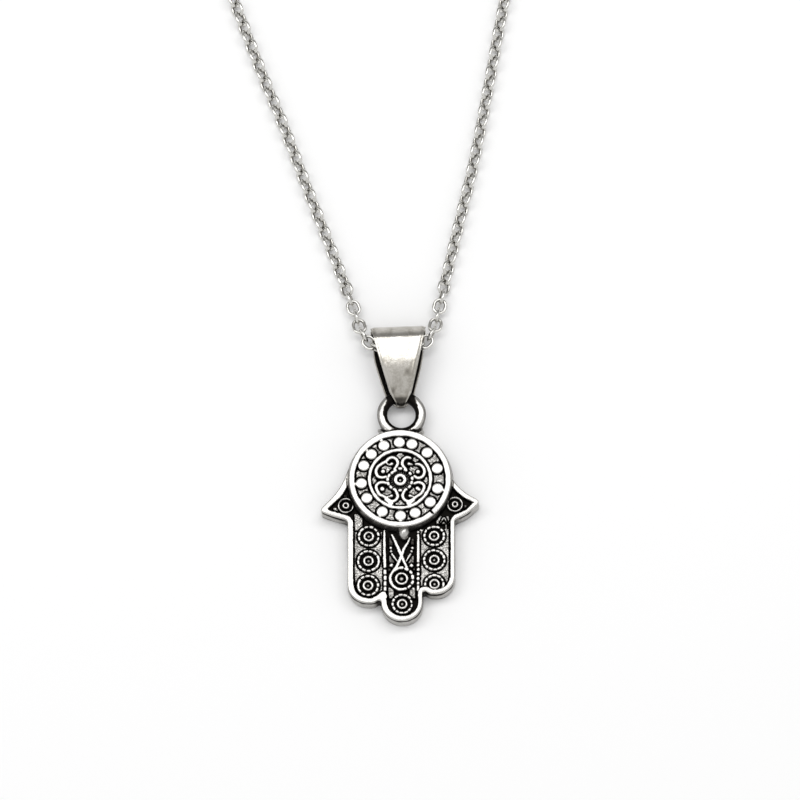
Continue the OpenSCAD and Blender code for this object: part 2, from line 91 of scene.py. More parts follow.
# Corners of the hand, anticlockwise: x, y and the radius that rounds the corner
HAND_CORNERS = (
    (PALM_L, -LEFT_DROP, 2.9),
    (MIDDLE_L - 1, -LEFT_DROP, 1.3),
    (MIDDLE_L, -LEFT_DROP + NOTCH_RISE, 0.25),
    (MIDDLE_L, -HAND_DROP, MIDDLE_W * 0.49),
    (MIDDLE_R, -HAND_DROP, MIDDLE_W * 0.49),
    (MIDDLE_R, -RIGHT_DROP + NOTCH_RISE, 0.25),
    (MIDDLE_R + 1, -RIGHT_DROP, 1.3),
    (PALM_R, -RIGHT_DROP, 2.7),
    (PALM_R, -THUMB_LOW + 0.03, 0.5),
    (THUMB_RIGHT * 0.841, -THUMB_LOW + 0.71, 5),
    (THUMB_RIGHT + 0.44, -THUMB_LOW + 2.78, 0.62),
    (THUMB_RIGHT * 0.798, -THUMB_LOW + 4.23, 7),
    (MEDAL_R * 0.986, 0.85, 0.3),
    (MEDAL_R * 0.72, 2, 1),
    (-MEDAL_R * 0.72, 2, 1),
    (-MEDAL_R * 0.993, 1.9, 0.3),
    (-THUMB_LEFT * 0.7665, -THUMB_LOW + 4.45, 10),
    (-THUMB_LEFT - 0.42, -THUMB_LOW + 1.295, 0.57),
    (-THUMB_LEFT * 0.851, -THUMB_LOW + 0.5, 3),
    (PALM_L, -THUMB_LOW - 0.1, 0.5),
)
OUTLINE_STEP = 0.11
# A coarser outline, from which the width of the rim is measured
RIM_STEP = 0.3

# Finger rosettes: x, y, outer radius, granules, unbroken share of the ring, and where it starts in degrees
ROSETTES = (
    (-4.4, -8.28, 1.53, 12, 0, 0),
    (-4.44, -11.94, 1.61, 13, 0.22, -45),
    (-4.5, -15.6, 1.56, 12, 0.1, 165),
    (4.8, -8.2, 1.53, 13, 0, 0),
    (4.82, -11.78, 1.58, 14, 0, 0),
    (4.85, -15.38, 1.44, 12, 0, 0),
    (0.22, -14.57, 1.79, 13, 0.56, 86),
    (0.31, -18.35, 1.5, 13, 0, 0),
)
BIG_ROSETTE_R = 1.7
# Share of its pitch that a granule fills
GRANULE_FILL = 0.8
THUMB_EYES = ((-7.63, -3.68), (7.74, -3.49))


def unit(v):
    return v / np.linalg.norm(v)


def turns(count, shift=0):
    """Angles of so many even steps round a circle."""
    return math.tau * (np.arange(count) + shift) / count


def step_up(low, high, v):
    """Soft step: 0 up to low, 1 from high on."""
    t = np.clip((v - low) / (high - low), 0, 1)
    return t * t * (3 - 2 * t)


def nowhere(p):
    """Distances to a figure that has no part yet."""
    return np.full(len(p), -9.0)


def away_from(p, x=0, y=0):
    return np.hypot(p[:, 0] - x, p[:, 1] - y)


def corner_arc(a, p, b, inset, step):
    """The arc that rounds corner p between a and b, moved inwards by inset."""
    r = p[2]
    u, v = unit(a[:2] - p[:2]), unit(b[:2] - p[:2])
    half = math.acos(float(u @ v)) / 2
    side = 1 if u[1] * v[0] > u[0] * v[1] else -1
    centre = p[:2] + unit(u + v) * r / math.sin(half)
    start = unit(p[:2] + u * r / math.tan(half) - centre)
    sweep = side * (math.pi - 2 * half)
    steps = max(2, math.ceil(r * abs(sweep) / step))
    cos, sin = [f(sweep * np.arange(steps + 1) / steps) for f in (np.cos, np.sin)]
    turned = np.stack([start[0] * cos - start[1] * sin, start[0] * sin + start[1] * cos], 1)
    return centre + turned * (r - side * inset)


def outline_arcs(inset, step):
    rows = np.array(HAND_CORNERS)
    corners = zip(np.roll(rows, 1, 0), rows, np.roll(rows, -1, 0))
    return [corner_arc(a, p, b, inset, step) for a, p, b in corners]


def hand_outline(inset, step):
    """The hand's outline moved inwards. Each inset gives as many points, so that loops can be joined."""
    base, arcs = outline_arcs(0, step), outline_arcs(inset, step)
    full = []
    for i, arc in enumerate(arcs):
        j = (i + 1) % len(arcs)
        count = max(1, round(float(np.linalg.norm(base[j][0] - base[i][-1])) / step))
        full += [arc, arc[-1] + (arcs[j][0] - arc[-1]) * np.arange(1, count)[:, None] / count]
    return np.concatenate(full)


def inside_distance(points, loop):
    """Distance from the points to a closed loop, positive inside it."""
    out = np.empty(len(points))
    a, b = loop, np.roll(loop, -1, 0)
    ab = b - a
    length = (ab ** 2).sum(1)
    for i in range(0, len(points), 4000):
        p = points[i:i + 4000, None]
        t = np.clip(((p - a) * ab).sum(2) / length, 0, 1)
        near = np.sqrt((((p - a) - ab * t[..., None]) ** 2).sum(2)).min(1)
        low, high = a[:, 1] <= p[..., 1], b[:, 1] <= p[..., 1]
        side = ab[:, 0] * (p[..., 1] - a[:, 1]) - ab[:, 1] * (p[..., 0] - a[:, 0])
        winding = ((low & ~high & (side > 0)).astype(int) - (~low & high & (side < 0))).sum(1)
        out[i:i + 4000] = np.where(winding != 0, near, -near)
    return out


def curve_through(rows, steps):
    """Curve through all rows but the first and the last, which only steer it."""
    t = (np.arange(steps) / steps)[:, None]
    out = []
    for a, b, c, d in zip(rows, rows[1:], rows[2:], rows[3:]):
        square = (2 * a - 5 * b + 4 * c - d) * t ** 2
        out.append(0.5 * (2 * b + (c - a) * t + square + (3 * b - a - 3 * c + d) * t ** 3))
    return np.concatenate([*out, rows[-2:-1]])


def band(points, rows, steps=8):
    """Signed distance to a band that follows rows of x, y and half width: positive inside."""
    line = np.array(rows, float)
    if len(line) > 2:
        before, after = 2 * line[:1] - line[1:2], 2 * line[-1:] - line[-2:-1]
        line = curve_through(np.concatenate([before, line, after]), steps)
    best = nowhere(points)
    for a, b in zip(line, line[1:]):
        ab = b[:2] - a[:2]
        t = np.clip(((points - a[:2]) @ ab) / (ab @ ab), 0, 1)
        reach = np.sqrt(((points - a[:2] - t[:, None] * ab) ** 2).sum(1))
        best = np.maximum(best, a[2] + (b[2] - a[2]) * t - reach)
    return best


def disc(points, x, y, r):
    return r - away_from(points, x, y)


def ring(points, x, y, outer, width):
    return width / 2 - np.abs(disc(points, x, y, outer - width / 2))


def granule_ring(points, x, y, outer, width, count, seed, solid, start):
    """A ring of long granules, uneven as cast. From start, a share of the ring is unbroken."""
    random = np.random.default_rng(seed)
    long = 1 + random.uniform(-0.14, 0.12, count)
    wide = 1 + random.uniform(-0.14, 0.12, count)
    out = random.uniform(-0.03, 0.03, count)
    dx, dy = points[:, 0] - x, points[:, 1] - y
    angle = np.arctan2(dy, dx)
    away = np.hypot(dx, dy)
    middle = outer - width / 2
    pitch = math.tau / count
    place = (angle / pitch - 0.3 * seed) % count
    k = np.floor(place).astype(int) % count
    along = (place - np.floor(place) - 0.5) * pitch * middle
    half = width / 2 * wide[k]
    reach = np.maximum(np.abs(along) - (pitch * middle * GRANULE_FILL / 2 * long[k] - half * 0.8).clip(0), 0)
    d = half - np.hypot(reach, away - middle - out[k])
    if solid:
        turn = (np.degrees(angle) - start) % 360
        unbroken = width * 0.45 - np.abs(away - middle)
        d = np.where(turn < 360 * solid, np.maximum(d, unbroken), d)
    return d


def smooth_noise(points, size, seed):
    """Even noise from -1 to 1 with soft bumps of that size."""
    table = np.random.default_rng(seed).uniform(-1, 1, (64, 64))
    g = points / size + 1000
    cell = np.floor(g).astype(int)
    f = g - cell
    u, v = (f * f * (3 - 2 * f)).T
    i, j = cell.T % 64
    n, m = (i + 1) % 64, (j + 1) % 64
    low = table[i, j] * (1 - u) + table[n, j] * u
    high = table[i, m] * (1 - u) + table[n, m] * u
    return low * (1 - v) + high * v


def crumple(points, size, seed):
    return (smooth_noise(points, size, seed) + 0.6 * smooth_noise(points, size * 0.47, seed + 1)) / 1.3


def crown(d, wall, rounded):
    """Height share of a cast edge: a leaning wall, then a narrow rounding up to its flat top."""
    t = np.clip(d / rounded, 0, 1)
    return np.clip(d / wall + 1, 0, 1) * SHOULDER + (1 - SHOULDER) * np.sqrt(1 - (1 - t) ** 2)


def fine_points(loop, hidden=None):
    """Even points inside a loop. Where the piece is hidden, only a few are kept."""
    low, high = loop.min(0), loop.max(0)
    xs = np.arange(low[0], high[0], GRID)
    rows = [np.stack([xs + GRID / 2 * (j % 2), np.full(len(xs), y)], 1)
            for j, y in enumerate(np.arange(low[1], high[1], GRID * math.sqrt(3) / 2))]
    p = np.concatenate(rows)
    if hidden is not None:
        p = p[~hidden(p) | (np.arange(len(p)) % 31 == 0)]
    return p[inside_distance(p, loop) > GRID * 0.55]


def to_contours(p, distance, levels):
    """Move the points that lie close to a relief's edge onto its contours."""
    d = distance(p)
    h = 0.01
    for level in levels:
        near = np.abs(d - level) < GRID * 0.45
        q = p[near]
        slope = np.stack([distance(q + step) - distance(q - step) for step in ([h, 0], [0, h])], 1)
        slope /= np.maximum(np.linalg.norm(slope, axis=1), h)[:, None]
        p[near] = q - slope * (d[near] - level)[:, None]
    return p


def relief_shell(points, height, wall_loops):
    """Closed shell: a relief inside the first loop, walls that join the further loops, and a flat back."""
    loop = wall_loops[0][0]
    n = len(loop)
    xy = [Vector(v) for v in np.concatenate([loop, points])]
    ids = [(i, (i + 1) % n) for i in range(n)]
    out, _, faces, origin, _, _ = delaunay_2d_cdt(xy, ids, [list(range(n))], 1, 1e-4)
    flat = np.array([[v.x, v.y] for v in out])
    z = height(flat)
    place = {}
    for new, old in enumerate(origin):
        for k in old:
            if k < n:
                place[k] = new
    for k in range(n):
        z[place[k]] = wall_loops[0][1]
    verts = [(x, y, h) for (x, y), h in zip(flat, z)]
    faces = [list(f) for f in faces]
    above = [place[k] for k in range(n)]
    for loop_xy, level in wall_loops[1:]:
        below = list(range(len(verts), len(verts) + n))
        verts += [(x, y, level) for x, y in loop_xy]
        faces += [(above[(i + 1) % n], above[i], below[i], below[(i + 1) % n]) for i in range(n)]
        above = below
    faces.append(above[::-1])
    return make_mesh(verts, faces)


def add_object(name, data):
    obj = bpy.data.objects.new(name, data)
    bpy.context.scene.collection.objects.link(obj)
    return obj


def make_mesh(verts, faces):
    mesh = bpy.data.meshes.new("mesh")
    mesh.from_pydata([Vector(v) * MM for v in verts], [], faces)
    mesh.validate()
    mesh.update()
    return add_object("mesh", mesh)


def tube_faces(around, across, closed=True):
    """Faces of a tube of so many sections, each with so many points. An open tube gets flat ends."""
    faces = []
    for i in range(around if closed else around - 1):
        for k in range(across):
            n, m = (i + 1) % around, (k + 1) % across
            faces.append((i * across + k, n * across + k, n * across + m, i * across + m))
    if not closed:
        faces += [tuple(range(across)), tuple(range((around - 1) * across, around * across))[::-1]]
    return faces


def flipped(faces):
    return [(f[0], *f[:0:-1]) for f in faces]


def joined(first, others):
    """One closed solid from overlapping closed shells."""
    for other in others:
        cut = first.modifiers.new("join", "BOOLEAN")
        cut.operation = "UNION"
        cut.solver = "MANIFOLD"
        cut.object = other
    mesh = bpy.data.meshes.new_from_object(first.evaluated_get(bpy.context.evaluated_depsgraph_get()))
    for obj in (first, *others):
        bpy.data.objects.remove(obj)
    return add_object("joined", mesh)


def lay(d, p, x, y, reach, shape):
    """Add a shape to the distances, for the points near its middle only."""
    near = (np.abs(p[:, 0] - x) < reach) & (np.abs(p[:, 1] - y) < reach)
    if near.any():
        d[near] = np.maximum(d[near], shape(p[near]))


def lay_band(d, p, rows, steps=6):
    rows = np.array([(*row, SCROLL_HALF)[:3] for row in rows])
    low, high = rows[:, :2].min(0) - 0.8, rows[:, :2].max(0) + 0.8
    near = ((p > low) & (p < high)).all(1)
    if near.any():
        d[near] = np.maximum(d[near], band(p[near], rows, steps))


# Bars between the fingers: x, y and half width along each
BARS = (
    ((-2.19, -7.45, 0.1), (-2.2, -8.3, 0.15), (-2.2, -10.4, 0.19), (-2.14, -12.8, 0.19)),
    ((2.56, -8.05, 0.15), (2.57, -10, 0.18), (2.55, -12.02, 0.18)),
)
# Beads that follow the bars: x, y, half width, half length
BAR_BEADS = (
    (-2.12, -13.58, 0.21, 0.38), (-2.1, -14.46, 0.2, 0.38), (-2.1, -15.3, 0.21, 0.38),
    (-2.1, -16.1, 0.19, 0.36), (2.56, -16.0, 0.17, 0.45), (2.55, -7.62, 0.16, 0.16),
    (2.55, -12.53, 0.2, 0.25), (2.56, -13.2, 0.2, 0.27), (2.56, -13.88, 0.2, 0.26),
    (2.55, -14.56, 0.2, 0.26), (2.55, -15.25, 0.18, 0.24),
)
# Crossed ribbons and small strokes: x, y and half width along each
RIBBONS = (
    ((-1.15, -8.05, 0.1), (-0.617, -9.18, 0.18), (-0.05, -10.52, 0.2), (0.265, -11.32, 0.19),
     (0.93, -12.85, 0.16)),
    ((1.4, -8.5, 0.06), (1.083, -9.25, 0.14), (0.611, -9.98, 0.18), (0.265, -10.92, 0.2),
     (-0.113, -11.99, 0.2), (-0.491, -12.79, 0.19), (-0.95, -13.4, 0.17)),
    ((5.75, -6.15, 0.05), (6.2, -5.5, 0.07), (6.55, -6.1, 0.05)),
    ((-1.12, -10.92, 0.12), (-0.428, -11.92, 0.1)),
    ((1.461, -10.92, 0.12), (0.894, -11.92, 0.1)),
)
SIDE_DOTS = (
    (-1.31, -10.0, 0.18), (-1.247, -10.5, 0.17), (1.745, -10.0, 0.17), (1.62, -10.5, 0.17),
    (-1.215, -12.59, 0.24), (1.62, -12.62, 0.24),
)


def plate_figures(p):
    """Distance to the crisp figures on the hand, positive inside them."""
    d = nowhere(p)
    for k, (x, y, r, count, solid, start) in enumerate(ROSETTES):
        wide, small = (0.38, 0.91) if r > BIG_ROSETTE_R else (0.31, 0.74)

        def flower(q):
            granules = granule_ring(q, x, y, r, wide, count, k, solid, start)
            return np.maximum(granules, ring(q, x, y, small, 0.26))
        lay(d, p, x, y, r + 0.5, flower)
    for x, y in THUMB_EYES:
        lay(d, p, x, y, 1.6, lambda q: np.maximum(ring(q, x, y, 1.1, 0.17), ring(q, x, y, 0.46, 0.2)))
    for rows in BARS + RIBBONS:
        lay_band(d, p, rows)
    for x, y, half, long in BAR_BEADS:
        reach = max(long - half, 0.01)
        lay_band(d, p, ((x, y + reach, half), (x, y - reach, half)))
    for x, y, r in SIDE_DOTS:
        lay(d, p, x, y, 0.8, lambda q: disc(q, x, y, r))
    return d


# Rough patches of ground: x, y, half width, half height, and how bright wear has made them
PATCHES = (
    (-4.75, -12.85, 2.6, 5.3, 0.84), (5.2, -12.1, 2.7, 5.0, 0.84), (-5.85, -6.15, 0.6, 1.25, 0.82),
    (6.0, -5.8, 0.95, 0.6, 0.82), (6.5, -6.85, 0.12, 0.4, 0.9), (-9.05, -4.3, 0.4, 0.36, 0.75),
    (-7.67, -2.28, 0.25, 0.22, 0.35), (9.28, -3.77, 0.28, 0.26, 0.5), (-1.3, -9.05, 0.3, 0.65, 0.32),
    (-1.15, -11.55, 0.42, 0.66, 0.55), (1.55, -11.7, 0.46, 0.62, 0.55), (1.75, -9.0, 0.26, 0.5, 0.32),
    (-1.5, -13.2, 0.24, 0.24, 0.45), (2.0, -13.1, 0.24, 0.24, 0.45), (-1.25, -16.65, 0.42, 0.85, 0.78),
    (1.75, -16.65, 0.42, 0.85, 0.78),
)


def plate_parts(p):
    """Distances on the hand, positive inside: outline, rim, figures, patches (then their shine), low dots."""
    inside = inside_distance(p, RIM_LOOP)
    rim = RIM_W + 0.05 * crumple(p, 0.7, 11) - inside
    # The rim is broader at the fingertips and on the thumbs' upper sides
    x, y = np.abs(p[:, 0]), p[:, 1]
    rim += 0.05 * step_up(-13.5, -15.5, y) + 0.12 * step_up(-3.6, -2.2, y) * step_up(7, 7.6, x)
    wedge = nowhere(p)
    lay_band(wedge, p, ((-3.1, -17.35, 0.3), (-2.35, -16.8, 0.3), (-2.15, -17.3, 0.35)))
    rim = np.maximum(rim, wedge)
    figures = plate_figures(p) + SWELL + 0.02 * crumple(p, 0.3, 3)
    free = np.minimum(-rim - MOAT * 1.1, -figures - MOAT * 0.8) + 0.04 * crumple(p, 0.35, 13)
    dots = nowhere(p)
    for x, y, r, *_ in ROSETTES:
        free = np.minimum(free, away_from(p, x, y) - r - MOAT)
        size = 0.36 if r > BIG_ROSETTE_R else 0.27
        lay(dots, p, x, y, 0.8, lambda q: disc(q, x, y, size))
    for x, y in THUMB_EYES:
        free = np.minimum(free, away_from(p, x, y) - 1.12 - MOAT)
    free = np.minimum(free, away_from(p) - MEDAL_R - 0.5)
    patch, shine = nowhere(p), np.zeros(len(p))
    for x, y, half, tall, bright in PATCHES:
        d = np.minimum(half - np.abs(p[:, 0] - x), tall - np.abs(p[:, 1] - y))
        shine = np.where(d > -0.1, bright, shine)
        patch = np.maximum(patch, d)
    return inside, rim, figures, np.minimum(free, patch), shine, dots


def plate_height(p):
    _, rim, figures, pads, _, dots = plate_parts(p)
    edge = crown(rim, WALL_LEAN, EDGE_ROUND) * (PLATE_T - PLATE_FLOOR) * (1 - 0.02 * (1 + crumple(p, 1.3, 5)))
    tops = crown(figures, WALL_LEAN, EDGE_ROUND) * (FIGURE_Z - PLATE_FLOOR) * (1 + 0.04 * crumple(p, 0.8, 7))
    ground = crown(pads, 0.1, 0.1) * (PAD_Z - PLATE_FLOOR + 0.1 * crumple(p, 0.24, 21))
    low = crown(dots, 0.1, 0.2) * (PAD_Z - PLATE_FLOOR)
    return PLATE_FLOOR + np.maximum.reduce([edge, tops, ground, low, 0.03 * crumple(p, 0.4, 31)])


def plate_wear_and_shade(p):
    """How far the patina is rubbed off the hand's face, with a painted shadow line at the medallion's foot.
    """
    _, rim, figures, pads, shine, dots = plate_parts(p)
    top = step_up(-0.04, 0.06, np.maximum(rim, figures))
    # Where the medallion's wall stands on the rim, a painted shadow line, with patina in the joint, is left
    top *= step_up(MEDAL_R + 0.34, MEDAL_R + 0.5, away_from(p))
    rough = step_up(-0.04, 0.16, pads) * shine * (1 + 0.4 * crumple(p, 0.2, 23))
    return np.maximum.reduce([top, rough, step_up(-0.1, 0.3, dots) * 0.66])


# Scrolls inside the medallion: x, y and, where it isn't the usual one, half width along each band
SCROLL_HALF = 0.2
SCROLLS = (
    ((-2.0, 0.318, 0.17), (-2.552, 0.201, 0.19), (-3.135, 0.421), (-3.381, 1.108), (-3.135, 1.795),
     (-2.487, 2.31), (-1.969, 2.619), (-1.581, 3.031), (-1.062, 3.203), (-0.544, 2.962), (-0.318, 2.413),
     (-0.544, 1.795, 0.18), (-0.84, 1.48, 0.12)),
    ((-1.904, 2.413, 0.1), (-1.645, 2.138, 0.1), (-1.257, 2.172, 0.15), (-1.16, 2.24)),
    ((0.85, 1.5, 0.12), (0.557, 1.78, 0.18), (0.33, 2.207), (0.395, 2.756), (0.751, 3.134),
     (1.14, 3.203, 0.19), (1.463, 3.1, 0.15)),
    ((1.25, 2.24), (1.4, 2.21, 0.16), (1.72, 2.14, 0.08)),
    ((2.046, 0.42, 0.17), (2.435, 0.146, 0.19), (2.953, 0.215), (3.342, 0.627), (3.439, 1.245),
     (3.147, 1.863), (2.694, 2.17, 0.18), (2.241, 2.207, 0.14)),
    ((-1.97, -0.61, 0.17), (-2.487, -0.506, 0.19), (-3.07, -0.678), (-3.362, -1.227), (-2.94, -2.257),
     (-2.293, -2.601), (-1.71, -3.047), (-1.127, -3.356), (-0.577, -3.116), (-0.318, -2.601),
     (-0.48, -2.05, 0.19), (-0.609, -1.742, 0.17)),
    ((-1.84, -2.67, 0.1), (-1.5, -2.62, 0.12), (-1.19, -2.53)),
    ((2.046, -0.678, 0.17), (2.564, -0.506, 0.19), (3.115, -0.678), (3.407, -1.16), (3.018, -2.12),
     (2.37, -2.6), (1.787, -3.08), (1.14, -3.356), (0.62, -3.08), (0.363, -2.53), (0.492, -2.05, 0.19),
     (0.654, -1.777, 0.17)),
    ((1.85, -2.64, 0.1), (1.62, -2.6, 0.12), (1.4, -2.53)),
    ((2.45, -1.4, 0.25), (2.7, -1.6)),
    ((-2.05, -3.1, 0.16), (-1.25, -3.65, 0.3)),
    ((1.2, -3.65, 0.3), (1.95, -3.2, 0.16)),
)
SCROLL_DOTS = ((-2.39, 1.108, 0.28), (2.53, 1.07, 0.28), (-2.487, -1.502, 0.3))
# Rough lozenges and triangles between the scrolls: x, y, half width, half height
ROUGH_SPOTS = (
    (-1.87, 1.66, 0.8, 0.8), (1.95, 1.55, 0.8, 0.8), (-1.84, -1.98, 0.75, 0.75), (1.917, -1.98, 0.75, 0.75),
    (0.04, 3.5, 0.62, 0.62), (0.04, -3.65, 0.9, 0.6), (3.7, -0.25, 0.42, 0.8), (-3.66, -0.2, 0.42, 0.8),
    (2.2, 2.95, 0.7, 0.5), (-2.62, 3.05, 0.4, 0.3),
)
CENTRE = (0.026, -0.115)
CENTRE_R = 0.88
CENTRE_HOLE = 0.43
GROOVE_R = 1.4
GROOVE_TEETH = 26
# Granules round the centre: x and y
GRANULES = (
    (0.026, 1.533), (0.783, 1.314), (1.431, 0.799), (1.723, 0.077), (1.625, -0.575), (1.334, -1.159),
    (0.783, -1.605), (0.026, -1.708), (-0.739, -1.605), (-1.289, -1.228), (-1.645, -0.712),
    (-1.742, -0.06), (-1.548, 0.489), (-1.095, 0.936), (-0.706, 1.211),
)
# A fine crack through the rim: x, y, half width
CRACK = ((4.15, -4.6, 0.13), (4.5, -5.0, 0.1), (4.85, -5.35, 0.05))


def medal_figures(p):
    d = nowhere(p)
    for rows in SCROLLS:
        lay_band(d, p, rows)
    for x, y, r in SCROLL_DOTS:
        lay(d, p, x, y, 0.9, lambda q: disc(q, x, y, r))
    lay(d, p, *CENTRE, 1.4, lambda q: ring(q, *CENTRE, CENTRE_R, CENTRE_R - CENTRE_HOLE))
    for x, y in GRANULES:
        out = unit(np.array([x, y]) - CENTRE) * 0.09
        side = (-out[1], out[0])
        lay_band(d, p, ((x - side[0], y - side[1]), (x + side[0], y + side[1])))
    d += SWELL
    away = away_from(p)
    d = np.maximum(d, ring(p, 0, 0, INNER_R, INNER_W) + 0.06 * crumple(p, 0.7, 41))
    outer = MEDAL_RIM_W - (MEDAL_R - away) + 0.06 * crumple(p, 0.8, 42)
    crack = band(p, CRACK) + 0.03 * crumple(p, 0.3, 45)
    return np.maximum(d, np.minimum(outer, -crack))


def medal_parts(p):
    """Distances on the medallion, positive inside: figures, beads, fillers, spots. Then hub and teeth."""
    away = away_from(p)
    figures = medal_figures(p)
    clear = -nowhere(p)
    for angle in BEAD_ANGLES:
        a = math.radians(angle)
        x, y = BEAD_TRACK * math.sin(a), BEAD_TRACK * math.cos(a)
        clear = np.minimum(clear, away_from(p, x, y) - BEAD_R)
        if angle in JOINED_BEADS:
            clear = np.minimum(clear, away_from(p, x * 1.16, y * 1.16) - 0.26)
    track = np.minimum(MEDAL_R - MEDAL_RIM_W - away, away - INNER_R) - MOAT * 0.8
    fill = np.minimum(track, clear - MOAT * 0.75) + 0.05 * crumple(p, 0.3, 53)
    spots = nowhere(p)
    for x, y, half, tall in ROUGH_SPOTS:
        far = np.abs(p[:, 0] - x) / half + np.abs(p[:, 1] - y) / tall
        spots = np.maximum(spots, (1 - far) * 0.7 * min(half, tall))
    spots = np.minimum(spots, -figures - 0.13)
    hub = away_from(p, *CENTRE)
    teeth = np.cos(GROOVE_TEETH * np.arctan2(p[:, 1] - CENTRE[1], p[:, 0] - CENTRE[0]))
    teeth = np.where((hub > CENTRE_R) & (hub < GROOVE_R), teeth, -1)
    return figures, -clear, fill, spots, hub, teeth


def medal_height(p):
    figures, beads, fill, spots, hub, teeth = medal_parts(p)
    depth = MEDAL_T - MEDAL_FLOOR
    tops = crown(figures, WALL_LEAN, EDGE_ROUND) * depth * (1 - 0.02 * (1 + crumple(p, 1.2, 43)))
    domes = crown(beads, 0.1, 0.22) * depth * 0.93 + 0.04 * np.clip(beads, 0, 1)
    rough = 0.1 * crumple(p, 0.24, 51)
    ground = crown(fill, 0.1, 0.1) * (depth * 0.75 + rough)
    low = crown(spots, 0.1, 0.1) * (depth * 0.65 + rough)
    ticks = (1 + teeth) * depth * 0.14
    dot = crown(0.2 - hub, 0.1, 0.15) * depth * 0.55
    skin = 0.04 * crumple(p, 0.35, 52)
    return MEDAL_FLOOR + np.maximum.reduce([tops, domes, ground, low, ticks, dot, skin])


def medal_worn(p):
    """How far the patina is rubbed off the medallion's face."""
    figures, beads, fill, spots, hub, teeth = medal_parts(p)
    top = np.maximum(step_up(-0.04, 0.06, figures), step_up(-0.04, 0.1, beads))
    rough = 1 + 0.5 * crumple(p, 0.19, 54)
    ground = np.maximum(step_up(-0.02, 0.16, fill), step_up(-0.02, 0.12, spots)) * 0.78 * rough
    return np.maximum.reduce([top, ground, (1 + teeth) * 0.36, step_up(0.34, 0.1, hub) * 0.66])


# Wear of the casting's outer walls
WALL_WORN = 0.86
# Above this height, the plate's wall is its rubbed upper edge
WALL_TOP = 2.3
# Sharp corners in the outline that stay dark, with patina and painted shade: x, y, by which share
DARK_CORNERS = ((-2.6, -18.1, 0.9), (3.3, -16.7, 0.9), (-7.4, -6.1, 0.5), (7.9, -6.0, 0.5))

# Hanging ring and ball
EYE = Vector((0.2, 10.085, 1.56))
EYE_R = 2.725
EYE_WIRE = 0.74
BALL = Vector((0.56, -7.75, 2.15))


def hanging_ring(around=160, across=40):
    """Cast ring of a round section with a flattened top, slightly uneven round its circle."""
    verts = []
    for a in turns(around):
        wave = 0.02 * math.sin(3 * a + 1) + 0.015 * math.sin(7 * a)
        for b in turns(across):
            out, up = [math.copysign(abs(t) ** 0.78, t) for t in (math.cos(b), math.sin(b))]
            r = EYE_R + EYE_WIRE * out * (0.975 if out > 0 else 1) + wave * (1 + out) / 2
            verts.append(EYE + Vector((r * math.cos(a), r * math.sin(a), EYE_WIRE * up)))
    return make_mesh(verts, tube_faces(around, across))


def lump(centre, size, seed, rough=0.05, around=40, rings=24):
    """Closed rounded lump with an uneven surface."""
    random = np.random.default_rng(seed)
    wave = random.uniform(-1, 1, (6, 3)) * 3
    phase = random.uniform(0, 6, 6)
    verts = []
    for j in range(1, rings):
        b = math.pi * j / rings
        for a in turns(around):
            v = np.array([math.sin(b) * math.cos(a), math.sin(b) * math.sin(a), math.cos(b)])
            swell = 1 + rough * float(np.sin(wave @ v * 2 + phase).sum()) / 3
            verts.append(centre + Vector(v * size * swell))
    faces = tube_faces(rings - 1, around, False)[:-2]
    last = len(verts)
    verts += [centre + Vector((0, 0, size[2])), centre - Vector((0, 0, size[2]))]
    faces += [(last, i, (i + 1) % around) for i in range(around)]
    base = (rings - 2) * around
    faces += [(last + 1, base + (i + 1) % around, base + i) for i in range(around)]
    return make_mesh(verts, faces)


RIM_LOOP = hand_outline(0, RIM_STEP)


def make_pendant():
    walls = ((0.22, PLATE_T), (0.13, 2.48), (0.07, 2.42), (0.04, 2.32), (0.05, 2.2), (0.1, 2.1), (0.12, 1.98),
             (0.08, 1.84), (0.04, 1.68), (0.02, 1.3), (0, 0.8), (0, 0.4), (0.04, 0.12), (0.12, 0))
    loops = [(hand_outline(inset, OUTLINE_STEP) - [TOP_SHIFT * z / PLATE_T, 0], z) for inset, z in walls]
    points = fine_points(loops[0][0], lambda p: away_from(p) < MEDAL_R - 0.3)
    shown = away_from(points) > MEDAL_R

    def edges(p):
        return np.maximum(plate_figures(p), RIM_W - inside_distance(p, RIM_LOOP))
    points[shown] = to_contours(points[shown], edges, (EDGE_ROUND - SWELL, -SWELL, -SWELL - WALL_LEAN))
    plate = relief_shell(points, plate_height, loops)

    turn = turns(MEDAL_STEPS)
    # Its top edge bulges a little towards the ring
    circle = np.stack([np.cos(turn), np.sin(turn) * np.where(np.sin(turn) > 0, 1.022, 1)], 1)
    profile = ((7.03, MEDAL_T), (7.11, 3.28), (7.17, 3.22), (7.21, 3.12), (7.29, 2.85), (7.38, 2.5),
               (7.45, 2.1), (7.52, 1.7), (7.58, 1.0), (7.58, 0.3), (7.52, 0))
    loops = [(circle * r, level) for r, level in profile]
    points = to_contours(fine_points(loops[0][0]), medal_figures, (EDGE_ROUND, 0.0, -WALL_LEAN))
    medal = relief_shell(points, medal_height, loops)

    parts = [medal, hanging_ring(), lump(BALL, (0.84, 1.05, 0.95), 4, 0.03)]
    for x, seed in ((-2.25, 5), (2.6, 6)):
        parts.append(lump(Vector((x, 7.55, 1.4)), (0.8, 0.8, 0.85), seed, 0.12))
    return joined(plate, parts)


# Bail: a folded sheet that follows the hook and the fold, in the ring's own axes
SHEET_T = 0.5
BAIL_W = 7.8
BAIL_LEAN = 2.2
HOOK_Y = 2.625
HOOK_R = 1.29
FOLD_Y = 10.475
FOLD_Z = 2.4
FOLD_R = 2.15
PRONG_GAP = 0.2
BEVEL_W = 0.5
BEVEL_DROP = 0.25
# Share of the length from the tip, share of the half width
BAIL_TAPER = ((0, 0.06), (0.012, 0.11), (0.033, 0.17), (0.06, 0.235), (0.154, 0.4), (0.352, 0.57),
              (0.523, 0.705), (0.686, 0.82), (0.849, 0.925), (0.918, 0.97), (0.962, 1), (0.985, 0.985),
              (0.995, 0.96), (1, 0.92))
